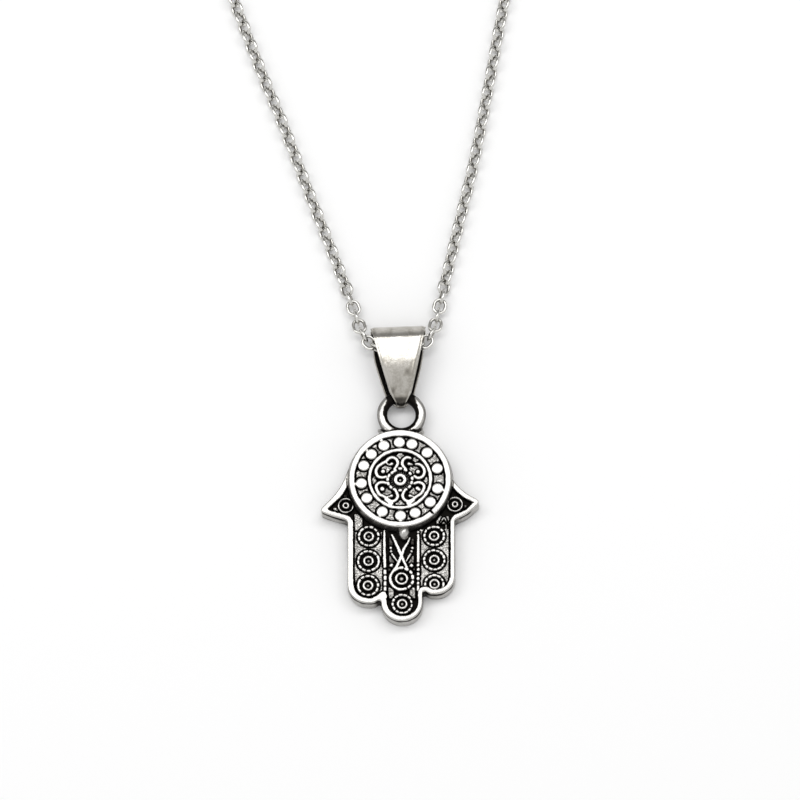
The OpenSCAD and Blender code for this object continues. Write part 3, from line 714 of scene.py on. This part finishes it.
# The front leaf falls from the fold to the hook along a curve of this power
FRONT_POWER = 2.6


def bail_side():
    """The sheet's middle line seen from its side, from prong to prong, with its outward normals."""
    fold = np.array([FOLD_Y, FOLD_Z])
    hook = np.array([HOOK_Y, EYE.z])
    top = fold + [0, FOLD_R]
    turn = math.radians(30)
    # The front leaf leaves the hook along its own slope
    for _ in range(20):
        fall = top - hook - HOOK_R * np.array([-math.sin(turn), math.cos(turn)])
        turn = math.atan(FRONT_POWER * fall[1] / fall[0])
    run, rise = fold - hook
    back = math.atan2(rise, run) - math.asin((FOLD_R - HOOK_R) / math.hypot(run, rise)) - math.pi / 2
    prong = math.pi - math.asin(PRONG_GAP / 2 / HOOK_R)
    line, normals = [], []

    def add(centre, r, a):
        normals.append(np.array([math.cos(a), math.sin(a)]))
        line.append(centre + r * normals[-1])

    def arc(centre, r, start, stop, steps):
        for k in range(steps + 1):
            add(centre, r, start + (stop - start) * k / steps)
    arc(hook, HOOK_R, prong, math.pi / 2 + turn, 14)
    for k in range(39, 0, -1):
        u = k / 40
        line.append(top - fall * [u, u ** FRONT_POWER])
        slope = FRONT_POWER * fall[1] * u ** (FRONT_POWER - 1) / fall[0]
        normals.append(unit(np.array([-slope, 1])))
    arc(fold, FOLD_R, math.pi / 2, back, 44)
    for k in range(1, 40):
        add(fold + (hook - fold) * k / 40, FOLD_R + (HOOK_R - FOLD_R) * k / 40, back)
    arc(hook, HOOK_R, back, -prong, 14)
    return np.array(line), np.array(normals)


def make_bail():
    """The folded sheet, with its edges a little raised, and the wear and painted shade of each of its points.
    """
    line, normals = bail_side()
    tip = HOOK_Y - HOOK_R - SHEET_T / 2
    top = FOLD_Y + FOLD_R + SHEET_T / 2
    taper = np.array(BAIL_TAPER)
    across = 40
    verts, wear_and_shade = [], []
    for (y, z), (ny, nz) in zip(line, normals):
        share = (y - tip) / (top - tip)
        half = float(np.interp(share, taper[:, 0], taper[:, 1])) * BAIL_W / 2
        # The back leaf is a little wider than the front one
        back = step_up(-0.2, -0.8, nz) * step_up(0.02, 0.2, share) * step_up(0.9, 0.6, share)
        half += 0.36 * back
        edge_r = min(0.16, half * 0.6)
        flat = np.linspace(-half + edge_r, half - edge_r, across)
        bend = np.linspace(0, math.pi, 9)[1:-1]
        # The face is slightly hollow between its bevelled edges
        deep = half - np.abs(flat)
        bevel = BEVEL_DROP * min(1, half / 2) * (1 - deep / BEVEL_W).clip(0, 1)
        hollow = -0.005 - bevel - 0.04 * step_up(BEVEL_W, BEVEL_W + 0.2, deep)
        edge_z = SHEET_T / 2 + hollow[0]
        # Painted shade: near the tip the face is darker
        tip_shade = step_up(0.13, 0.085, share) * step_up(-0.02, 0.05, share)
        low = step_up(0.62, 0.5, share)
        blots = crumple(np.stack([flat, np.full(across, y)], 1), 1.1, 71).clip(0, 1)
        shine = 1 - low * (0.14 + 0.6 * blots) * step_up(0.28, 0.4, deep)
        shine *= 1 - 0.85 * tip_shade * step_up(0.12, 0.3, deep)
        edge = []
        for b in bend:
            up = math.cos(b) * (edge_z if b < math.pi / 2 else SHEET_T / 2)
            edge.append((half - edge_r + edge_r * math.sin(b), up, math.sin(b / 2 + 0.8)))
        section = [(x, SHEET_T / 2 + h, v) for x, h, v in zip(flat, hollow, shine)] + edge
        # Painted shade: the sheet's inner side, between the leaves, is nearly black, with its patina
        section += [(x, -SHEET_T / 2, 0.02) for x in flat[::-1]]
        section += [(-x, up, shine) for x, up, shine in edge[::-1]]
        for x, out, shine in section:
            verts.append((x - 0.1 * back, y + ny * out, z + nz * out))
            wear_and_shade.append(shine)
    faces = flipped(tube_faces(len(line), len(section), False))
    lean = Matrix.Rotation(math.radians(BAIL_LEAN), 4, "Z")
    base = Vector((EYE.x, EYE.y, 0))
    obj = make_mesh([base + lean @ Vector(v) for v in verts], faces)
    set_attribute(obj, "wear_and_shade", wear_and_shade)
    return obj


# Chain: links of one size, along the route of chosen points, from the clasp round to the end ring
LINK_L = 2.5
LINK_W = 2.1
LINK_WIRE = 0.47
PITCH = 1.5
OPEN_LINKS = 43
SEAT = 0.3
FLOOR_GAP = 0.02
CHAIN_HIGH = SHEET_T + LINK_W / 2 + SEAT
DROP_FROM, DROP_TO = 4, 11
TURN_FROM, TURN_TO = 10, 15
CLASP_START = (-7.5, 214)
CLASP_TURN = math.radians(-1.5)
CLASP_REACH = 15.2
CLASP_END = (CLASP_START[0] + CLASP_REACH * math.cos(CLASP_TURN),
             CLASP_START[1] + CLASP_REACH * math.sin(CLASP_TURN))
ROUTE = (
    CLASP_START, (-15.5, 212.4), (-25, 208.2), (-34.2, 201), (-41.2, 191), (-45.6, 178.5), (-47, 165),
    (-45.9, 149), (-42.9, 132), (-38.3, 114.5), (-32.5, 97), (-26, 79.5), (-19.7, 62), (-16.5, 53.8),
    (-13, 44), (-8.5, 31.8), (-6.5, 26.1), (-5.65, 23), (-4.55, 21), (-2.65, 19.65),
    (-0.3, 19.15),
    (2, 19.7), (3.85, 21.15), (4.9, 23.1), (5.5, 26.1), (6.7, 31.7), (8.8, 41), (10.6, 49),
    (12.6, 60), (15.3, 75), (19.6, 93), (24.8, 111), (30.2, 129), (34.9, 147), (38, 163),
    (38.6, 177), (36.4, 189.5), (31.2, 200), (23.2, 208.2), (14.5, 212.6), CLASP_END,
)
# The route's lowest point, in the middle of the bail
ROUTE_MID = 20
SPAN_STEPS = 12
POINTS = np.array(ROUTE)
LINE = curve_through(np.concatenate([POINTS[:1], POINTS, POINTS[-1:]]), SPAN_STEPS)
RUN = np.concatenate([[0], np.cumsum(np.linalg.norm(np.diff(LINE, axis=0), axis=1))])
RUN -= RUN[ROUTE_MID * SPAN_STEPS]
# How far past the route's ends the last links reach: into the clasp's eye, and round the end ring
INTO_EYE = 0.25
ROUND_RING = -0.32
END_EASE = 12
EYE_LIFT = 0.18
END_RING_Z = 2.082
RING_TWIST = 50


def end_shares(s):
    """How near a place on the route is to its left and to its right end."""
    return step_up(RUN[0] + END_EASE, RUN[0], s), step_up(RUN[-1] - END_EASE, RUN[-1], s)


def twist_at(s):
    twist = 45 * step_up(TURN_FROM, TURN_TO, abs(s))
    left, right = end_shares(s)
    return twist * (1 - left) + (RING_TWIST - twist) * right


def height_at(s):
    twist = math.radians(twist_at(s))
    low = (LINK_W - LINK_WIRE) / 2 * max(math.cos(twist), math.sin(twist)) + LINK_WIRE / 2 + FLOOR_GAP
    left, right = end_shares(s)
    high = low + (CHAIN_HIGH - low) * step_up(DROP_TO, DROP_FROM, abs(s))
    return high + EYE_LIFT * left + (END_RING_Z - high) * right


def chain_at(s):
    """Point on the chain's middle line. Past its ends, the line runs on straight."""
    past = max(RUN[0] - s, s - RUN[-1], 0) * (1 if s < RUN[0] else -1)
    x = np.interp(s, RUN, LINE[:, 0]) + past * math.cos(CLASP_TURN)
    y = np.interp(s, RUN, LINE[:, 1]) + past * math.sin(CLASP_TURN)
    return Vector((x, y, height_at(s)))


def link_points(around, across):
    """Points of one link, its length along x and its width along y."""
    straight = (LINK_L - LINK_W) / 2
    bend = (LINK_W - LINK_WIRE) / 2
    verts = []
    for a in turns(around, 0.5):
        out = Vector((math.cos(a), math.sin(a), 0))
        middle = out * bend + Vector((math.copysign(straight, out.x), 0, 0))
        for b in turns(across):
            verts.append(middle + (out * math.cos(b) + Vector((0, 0, math.sin(b)))) * (LINK_WIRE / 2))
    return verts


def make_links(places, around, across):
    """Links placed from joint to joint: each place holds its two ends and its turn in degrees."""
    shape, shape_faces = link_points(around, across), tube_faces(around, across)
    verts, faces = [], []
    for a, b, turn in places:
        along = (b - a).normalized()
        side = Vector((0, 0, 1)).cross(along).normalized()
        up = along.cross(side)
        t = math.radians(turn)
        wide = side * math.cos(t) + up * math.sin(t)
        thin = along.cross(wide)
        base = len(verts)
        middle = (a + b) / 2
        verts += [middle + along * v.x + wide * v.y + thin * v.z for v in shape]
        faces += [tuple(base + k for k in f) for f in shape_faces]
    obj = make_mesh(verts, faces)
    # Painted shade: the wire is darker on its inner side, where the links lie in each other
    inner_shade = np.clip(-1.4 - 2.4 * np.cos(turns(across)), 0, 1)
    set_attribute(obj, "inner_shade", np.tile(inner_shade, around * len(places)))
    return obj


def link_place(s, pitch, number):
    """The two ends of the link at s, and its turn: every second link is upright."""
    return chain_at(s - pitch / 2), chain_at(s + pitch / 2), twist_at(s) + (90 if number % 2 == 0 else 0)


def back_places(end):
    """Links from the open stretch to one end, with the pitch drawn to fit their even number."""
    start = OPEN_LINKS * PITCH
    count = round((abs(end) - start) / PITCH)
    # The last link is upright, as every second one is
    count += (count + OPEN_LINKS) % 2
    pitch = (abs(end) - start) / count
    steps = range(1, count + 1)
    return [link_place(math.copysign(start + k * pitch, end), pitch, OPEN_LINKS + k) for k in steps]


# Clasp and end ring, along the line that the chain's ends leave open
CLASP_L = 8.6
CLASP_W = 5
CLASP_WIRE = 1
# The loop's wire is thinnest at its inner end, by this share
CLASP_THIN = 0.86
CLASP_EYE_D = 2.9
CLASP_EYE_WIRE = 0.6
CLASP_TIP_X = 11.6
CLASP_EYE_X = SEAT + CLASP_EYE_D / 2
CLASP_EYE_Z = 0.6
CLASP_SLOPE = math.asin((END_RING_Z - CLASP_EYE_Z) / (CLASP_TIP_X - CLASP_WIRE / 2))
END_RING_X = 12.3
END_RING_D = 5.2
END_RING_WIRE = 0.6
END_RING_TILT = 50
END_RING_SEAM = 0.03


def bar(path, radii, place, closed=True, across=24):
    """Round bar of changing thickness along a path that lies flat. An open bar has flat ends."""
    p = np.array(path, float)
    ahead = np.roll(p, -1, 0) - p
    back = p - np.roll(p, 1, 0)
    if not closed:
        ahead[-1], back[0] = back[-1], ahead[0]
    turn = turns(across)[:, None]
    verts = []
    for middle, before, after, r in zip(p, back, ahead, radii):
        along = unit(unit(after) + unit(before))
        side = unit(np.cross([0, 0, 1], along))
        verts += list(middle + r * (np.cos(turn) * side + np.sin(turn) * np.cross(along, side)))
    return make_mesh([place @ Vector(v) for v in verts], flipped(tube_faces(len(p), across, closed)))


def arc_path(x, r, angles):
    return [(x + r * math.cos(a), r * math.sin(a), 0) for a in angles]


def clasp_place(z):
    return Matrix.Translation((*CLASP_START, z)) @ Matrix.Rotation(CLASP_TURN, 4, "Z")


def make_clasp():
    bend = (CLASP_W - CLASP_WIRE) / 2
    far, near = CLASP_TIP_X - CLASP_W / 2, CLASP_TIP_X - CLASP_L + CLASP_W / 2
    place = clasp_place(CLASP_EYE_Z) @ Matrix.Rotation(-CLASP_SLOPE, 4, "Y")
    half_turn = math.pi * np.arange(49) / 48 - math.pi / 2
    loop = []
    for x, other, side in ((far, near, bend), (near, far, -bend)):
        loop += arc_path(x, side, half_turn)
        loop += [(x + (other - x) * k / 12, side, 0) for k in range(1, 12)]
    thick = CLASP_THIN + (1 - CLASP_THIN) * np.cos(turns(len(loop)))
    shell = bar(loop, CLASP_WIRE / 2 * thick, place)
    ring = arc_path(CLASP_EYE_X, (CLASP_EYE_D - CLASP_EYE_WIRE) / 2, turns(64))
    return joined(shell, [bar(ring, [CLASP_EYE_WIRE / 2] * len(ring), place)])


def make_end_ring():
    """A jump ring: its two ends meet at a fine seam."""
    r = (END_RING_D - END_RING_WIRE) / 2
    tilt = Matrix.Rotation(math.radians(END_RING_TILT), 4, "X")
    seam = END_RING_SEAM / r
    path = arc_path(0, r, math.radians(120) + seam / 2 + (math.tau - seam) * np.arange(97) / 96)
    place = clasp_place(END_RING_Z) @ Matrix.Translation((END_RING_X, 0, 0)) @ tilt
    return bar(path, [END_RING_WIRE / 2] * len(path), place, closed=False)


def set_attribute(obj, name, values):
    layer = obj.data.attributes.new(name, "FLOAT", "POINT")
    layer.data.foreach_set("value", np.asarray(values, np.float32))


def mesh_points(obj):
    flat = np.empty(len(obj.data.vertices) * 3)
    obj.data.vertices.foreach_get("co", flat)
    return flat.reshape(-1, 3) / MM


def pendant_wear_and_shade(p):
    """How far the patina is rubbed off, with painted shade added: 0 in the recesses, 1 on the polished tops.
    """
    x, y, z = p.T
    xy = p[:, :2]
    away = np.hypot(x, y)
    inside = inside_distance(xy, RIM_LOOP)
    # On the plate's wall, patina is left in a band under the rim; at the foot the wall has painted shade, and
    # in the sharp corners painted shade with the patina
    band_z = 2.0 + 0.12 * crumple(xy, 2.2, 65)
    thick = 0.36 + 0.22 * crumple(xy, 1.6, 68)
    clean = step_up(0.5, 1.4, np.abs(z - band_z) / np.maximum(thick, 0.08))
    under_thumbs = step_up(-4, -5, y) * step_up(7.9, 8.4, np.abs(x - PALM_SHIFT))
    front = np.maximum(step_up(-14.5, -16.5, y), under_thumbs)
    wall = WALL_WORN * (1 - (0.2 + 0.75 * front) * (1 - clean))
    # Painted shade: the wall is darker towards its foot
    wall *= 1 - 0.5 * step_up(0.5, 0.1, z + 0.35 * crumple(xy, 2.4, 69))
    # Painted shade, with patina, in the sharp corners
    for cx, cy, dark in DARK_CORNERS:
        wall *= 1 - dark * np.exp(-((x - cx) ** 2 + (y - cy) ** 2) / 0.5) * (z < WALL_TOP)
    wear_and_shade = np.where(z > WALL_TOP, 1, wall)
    # Painted shade: the medallion's wall is darker where it meets the plate and at the sides
    on_wall = (away > MEDAL_R - 0.06) & (away < MEDAL_R + 0.36)
    on_wall &= (np.abs(inside) > 0.25) | (z > PLATE_T - 0.1)
    dark_from = 1.75 + 0.65 * step_up(3.2, 5, np.abs(x + 0.8)) * (y < -1) + 0.4 * crumple(xy, 1.1, 66)
    wear_and_shade = np.where(on_wall, 0.56 * step_up(dark_from - 0.15, dark_from + 0.15, z), wear_and_shade)
    wear_and_shade = np.where(on_wall & (z > 3.2), 0.9, wear_and_shade)
    face = (inside > np.where(z > WALL_TOP, 0.14, 0.3)) & (z > PLATE_FLOOR - 0.2)
    face &= (away > MEDAL_R + 0.02) & ~on_wall
    wear_and_shade[face] = plate_wear_and_shade(xy[face])
    medal = (away < MEDAL_R - 0.06) & (z > MEDAL_FLOOR - 0.2)
    wear_and_shade[medal] = medal_worn(xy[medal])
    # The hanging ring is dark from its hole outwards, with a ragged edge: patina, reaching further out at its
    # top in a painted shadow of the bail
    ring_away = np.hypot(x - EYE.x, y - EYE.y)
    ragged = 0.14 * crumple(xy, 0.8, 63) + 0.07 * crumple(xy, 0.3, 64)
    rise = (y - EYE.y) / EYE_R
    dark_to = 2.47 + 0.08 * np.abs(rise) + 0.85 * np.clip(rise, 0, 1) ** 3
    ring_wear_and_shade = step_up(-0.06, 0.08, ring_away - dark_to - ragged)
    # Painted shade: the ring's outer edge is greyer
    ring_wear_and_shade *= 0.5 + 0.5 * step_up(3.36, 3.1, ring_away)
    # Painted shade, with patina, where the ring meets the medallion
    ring_wear_and_shade *= step_up(7.6, 7.85, y + 0.25 * crumple(xy, 0.4, 67))
    on_ring = (ring_away < EYE_R + EYE_WIRE + 0.3) & (away > MEDAL_R + 0.02) & (y > 5)
    wear_and_shade = np.where(on_ring, np.maximum(ring_wear_and_shade, 0.08), wear_and_shade)
    # Painted shade: the ball's lower part is greyer
    ball = np.hypot((x - BALL.x) / 0.88, (y - BALL.y) / 1.1) < 1
    return np.where(ball & (z > 1.69) & (away > MEDAL_R + 0.1), 0.72 + 0.28 * step_up(-8.6, -8.1, y), wear_and_shade)


class Nodes:
    """Short calls for the node tree of a material or a world."""

    def __init__(self, owner, shader="Principled BSDF"):
        owner.use_nodes = True
        self.owner = owner
        self.tree = owner.node_tree
        self.shader = self.tree.nodes[shader]

    def add(self, kind, inputs=None, **settings):
        node = self.tree.nodes.new(kind)
        for key, value in settings.items():
            setattr(node, key, value)
        for key, value in (inputs or {}).items():
            if isinstance(value, bpy.types.NodeSocket):
                self.tree.links.new(value, node.inputs[key])
            else:
                node.inputs[key].default_value = value
        return node

    def noise(self, scale, detail, rough, stretch=(1, 1, 1)):
        place = self.add("ShaderNodeTexCoord").outputs["Object"]
        place = self.add("ShaderNodeMapping", {"Vector": place, "Scale": stretch}).outputs["Vector"]
        inputs = {"Vector": place, "Scale": scale, "Detail": detail, "Roughness": rough}
        return self.add("ShaderNodeTexNoise", inputs).outputs["Fac"]

    def attribute(self, name):
        return self.add("ShaderNodeAttribute", attribute_name=name).outputs["Fac"]

    def math(self, operation, a, b, clamp=False):
        return self.add("ShaderNodeMath", {0: a, 1: b}, operation=operation, use_clamp=clamp).outputs["Value"]

    def spread(self, value, low, high, out_low, out_high):
        inputs = {"Value": value, "From Min": low, "From Max": high, "To Min": out_low, "To Max": out_high}
        return self.add("ShaderNodeMapRange", inputs).outputs["Result"]

    def colours(self, value, stops):
        ramp = self.add("ShaderNodeValToRGB", {"Fac": value})
        elements = ramp.color_ramp.elements
        while len(elements) < len(stops):
            elements.new(0.5)
        for element, (at, colour) in zip(elements, stops):
            element.position = at
            element.color = (*colour, 1)
        return ramp.outputs["Color"]

    def bump(self, value, depth, strength, normal=None):
        inputs = {"Height": value, "Distance": depth, "Strength": strength}
        if normal is not None:
            inputs["Normal"] = normal
        return self.add("ShaderNodeBump", inputs).outputs["Normal"]

    def link(self, value, socket):
        self.tree.links.new(value, self.shader.inputs[socket])


def metal_nodes(name):
    n = Nodes(bpy.data.materials.new(name))
    n.shader.inputs["Metallic"].default_value = 1.0
    return n


SILVER_STOPS = ((0.12, (0.009, 0.008, 0.007)), (0.38, (0.06, 0.055, 0.05)), (0.66, (0.36, 0.35, 0.33)),
                (0.88, (0.5, 0.49, 0.47)))
SHEET_STOPS = ((0.02, (0.006, 0.0055, 0.005)), (0.3, (0.22, 0.205, 0.18)), (0.6, (0.38, 0.36, 0.32)),
               (0.95, (0.56, 0.54, 0.5)))
INNER_SHADE_COLOUR = (0.17, 0.16, 0.14)


def silver_material():
    n = metal_nodes("antique_silver_wear_and_shade")
    # The point attribute gives patina and wear, with painted shade
    mixed = n.math("ADD", n.attribute("wear_and_shade"), n.spread(n.noise(5200, 4, 0.65), 0.3, 0.7, -0.12, 0.12))
    mixed = n.math("ADD", mixed, n.spread(n.noise(900, 3, 0.5), 0.3, 0.7, -0.06, 0.06), True)
    n.link(n.colours(mixed, SILVER_STOPS), "Base Color")
    n.link(n.spread(mixed, 0.15, 0.85, 0.55, 0.27), "Roughness")
    grain = n.bump(n.noise(9000, 2, 0.5), 0.000012, 0.5)
    n.link(n.bump(n.noise(1700, 3, 0.6), 0.00004, 0.4, grain), "Normal")
    return n.owner


def sheet_material():
    n = metal_nodes("aged_sheet_mottled_and_shaded")
    broad = n.spread(n.noise(520, 4, 0.6, (1, 0.7, 1)), 0.35, 0.62, 0.65, 1.0)
    mixed = n.math("ADD", broad, n.spread(n.noise(3600, 4, 0.65), 0.3, 0.7, -0.14, 0.14), True)
    # The point attribute gives the sheet's wear and blotches, with painted shade near the tip and on the
    # inner side
    mixed = n.math("MULTIPLY", mixed, n.attribute("wear_and_shade"))
    n.link(n.colours(mixed, SHEET_STOPS), "Base Color")
    n.link(n.spread(mixed, 0.1, 0.9, 0.3, 0.2), "Roughness")
    grain = n.bump(n.noise(8000, 2, 0.5), 0.00001, 0.5)
    n.link(n.bump(n.noise(650, 3, 0.6), 0.00008, 0.4, grain), "Normal")
    return n.owner


def steel_material(name, colour, rough):
    n = metal_nodes(name)
    # Painted shade: the point attribute darkens the wire's inner side
    inner_shade = n.math("ADD", n.attribute("inner_shade"), n.spread(n.noise(2400, 3, 0.6), 0.3, 0.7, 0, 0.25))
    n.link(n.colours(inner_shade, ((0.1, colour), (0.95, INNER_SHADE_COLOUR))), "Base Color")
    n.link(n.spread(n.noise(5200, 3, 0.6), 0.3, 0.7, rough * 0.75, rough * 1.4), "Roughness")
    n.link(n.bump(n.noise(6000, 2, 0.5), 0.000006, 0.4), "Normal")
    return n.owner


def dress(obj, name, node, material, angle=40):
    """Name a piece, fix it to the object, give it its material and smooth shading, and hide the node that it
    stands in for.
    """
    obj.name = name
    obj.data.name = name
    obj.data.materials.clear()
    obj.data.materials.append(material)
    obj.data.shade_smooth()
    obj.data.set_sharp_from_angle(angle=math.radians(angle))
    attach(obj, "root")
    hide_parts(node)


def make_floor():
    mesh = bpy.data.meshes.new("floor")
    corners = [(x * FLOOR_HALF, y * FLOOR_HALF, 0) for x, y in ((-1, -1), (1, -1), (1, 1), (-1, 1))]
    mesh.from_pydata(corners, [], [(0, 1, 2, 3)])
    n = Nodes(bpy.data.materials.new("paper_white"))
    n.shader.inputs["Base Color"].default_value = (0.96, 0.96, 0.96, 1)
    n.shader.inputs["Roughness"].default_value = 0.9
    n.shader.inputs["Specular IOR Level"].default_value = 0.1
    mesh.materials.append(n.owner)
    obj = add_object("floor", mesh)


FLOOR_HALF = 1.5
PX_PER_MM = 7.09
IMAGE_PX = 800
CAMERA_ELEVATION = math.radians(70.5)
CAMERA_AWAY = 4.0
SENSOR_MM = 36
AIM = Vector((0, 11.74, 3.3)) * MM


def make_camera():
    data = bpy.data.cameras.new("camera")
    data.sensor_width = SENSOR_MM
    data.lens = SENSOR_MM * CAMERA_AWAY / (IMAGE_PX / PX_PER_MM * MM)
    data.clip_start = 0.01
    obj = add_object("camera", data)
    back = Vector((0, -math.cos(CAMERA_ELEVATION), math.sin(CAMERA_ELEVATION)))
    obj.location = AIM + back * CAMERA_AWAY
    obj.rotation_euler = (math.pi / 2 - CAMERA_ELEVATION, 0, 0)
    bpy.context.scene.camera = obj


# Softbox above and behind the pendant, in metres and watts
SOFTBOX_AT = Vector((-0.03, 0.18, 0.56))
SOFTBOX_AIM = Vector((0, 0.01, 0))
SOFTBOX_SIZE = (1.0, 0.2)
SOFTBOX_WATTS = 1.85


def make_softbox():
    data = bpy.data.lights.new("softbox", "AREA")
    data.shape = "RECTANGLE"
    data.size, data.size_y = SOFTBOX_SIZE
    data.energy = SOFTBOX_WATTS
    obj = add_object("softbox", data)
    obj.location = SOFTBOX_AT
    obj.rotation_euler = (SOFTBOX_AIM - SOFTBOX_AT).to_track_quat("-Z", "Y").to_euler()


# The studio's brightness by a direction's y, from low in front (0) past overhead (0.5) to low behind (1)
STUDIO_TONES = ((0, 0.91), (0.18, 0.84), (0.5, 0.93), (0.62, 0.58), (0.72, 0.26), (0.9, 0.37), (1, 0.96))


def make_world():
    world = bpy.data.worlds.new("studio")
    bpy.context.scene.world = world
    n = Nodes(world, "Background")
    place = n.add("ShaderNodeTexCoord").outputs["Generated"]
    y = n.add("ShaderNodeSeparateXYZ", {0: place}).outputs["Y"]
    tones = [(at, (tone, tone, tone)) for at, tone in STUDIO_TONES]
    n.link(n.colours(n.spread(y, -1, 1, 0, 1), tones), "Color")


make_camera()
make_world()
make_floor()
make_softbox()

steel = steel_material("chain_polished", (0.68, 0.67, 0.64), 0.17)
clasp_steel = steel_material("clasp_polished", (0.68, 0.67, 0.65), 0.16)

pendant = make_pendant()
set_attribute(pendant, "wear_and_shade", pendant_wear_and_shade(mesh_points(pendant)))
dress(pendant, "pendant_cast", "pendant", silver_material(), 60)
dress(make_bail(), "bail_folded", "bail", sheet_material())
open_places = [link_place(i * PITCH, PITCH, i) for i in range(-OPEN_LINKS, OPEN_LINKS + 1)]
dress(make_links(open_places, 32, 12), "chain_links", "chain_front", steel, 70)
closed_places = back_places(RUN[0] - INTO_EYE) + back_places(RUN[-1] - ROUND_RING)
dress(make_links(closed_places, 20, 8), "chain_links_back", "chain_back", steel, 70)
dress(make_clasp(), "clasp_hook", "clasp", clasp_steel)
dress(make_end_ring(), "end_ring_wire", "end_ring", clasp_steel)

bpy.context.scene.view_settings.view_transform = "Standard"
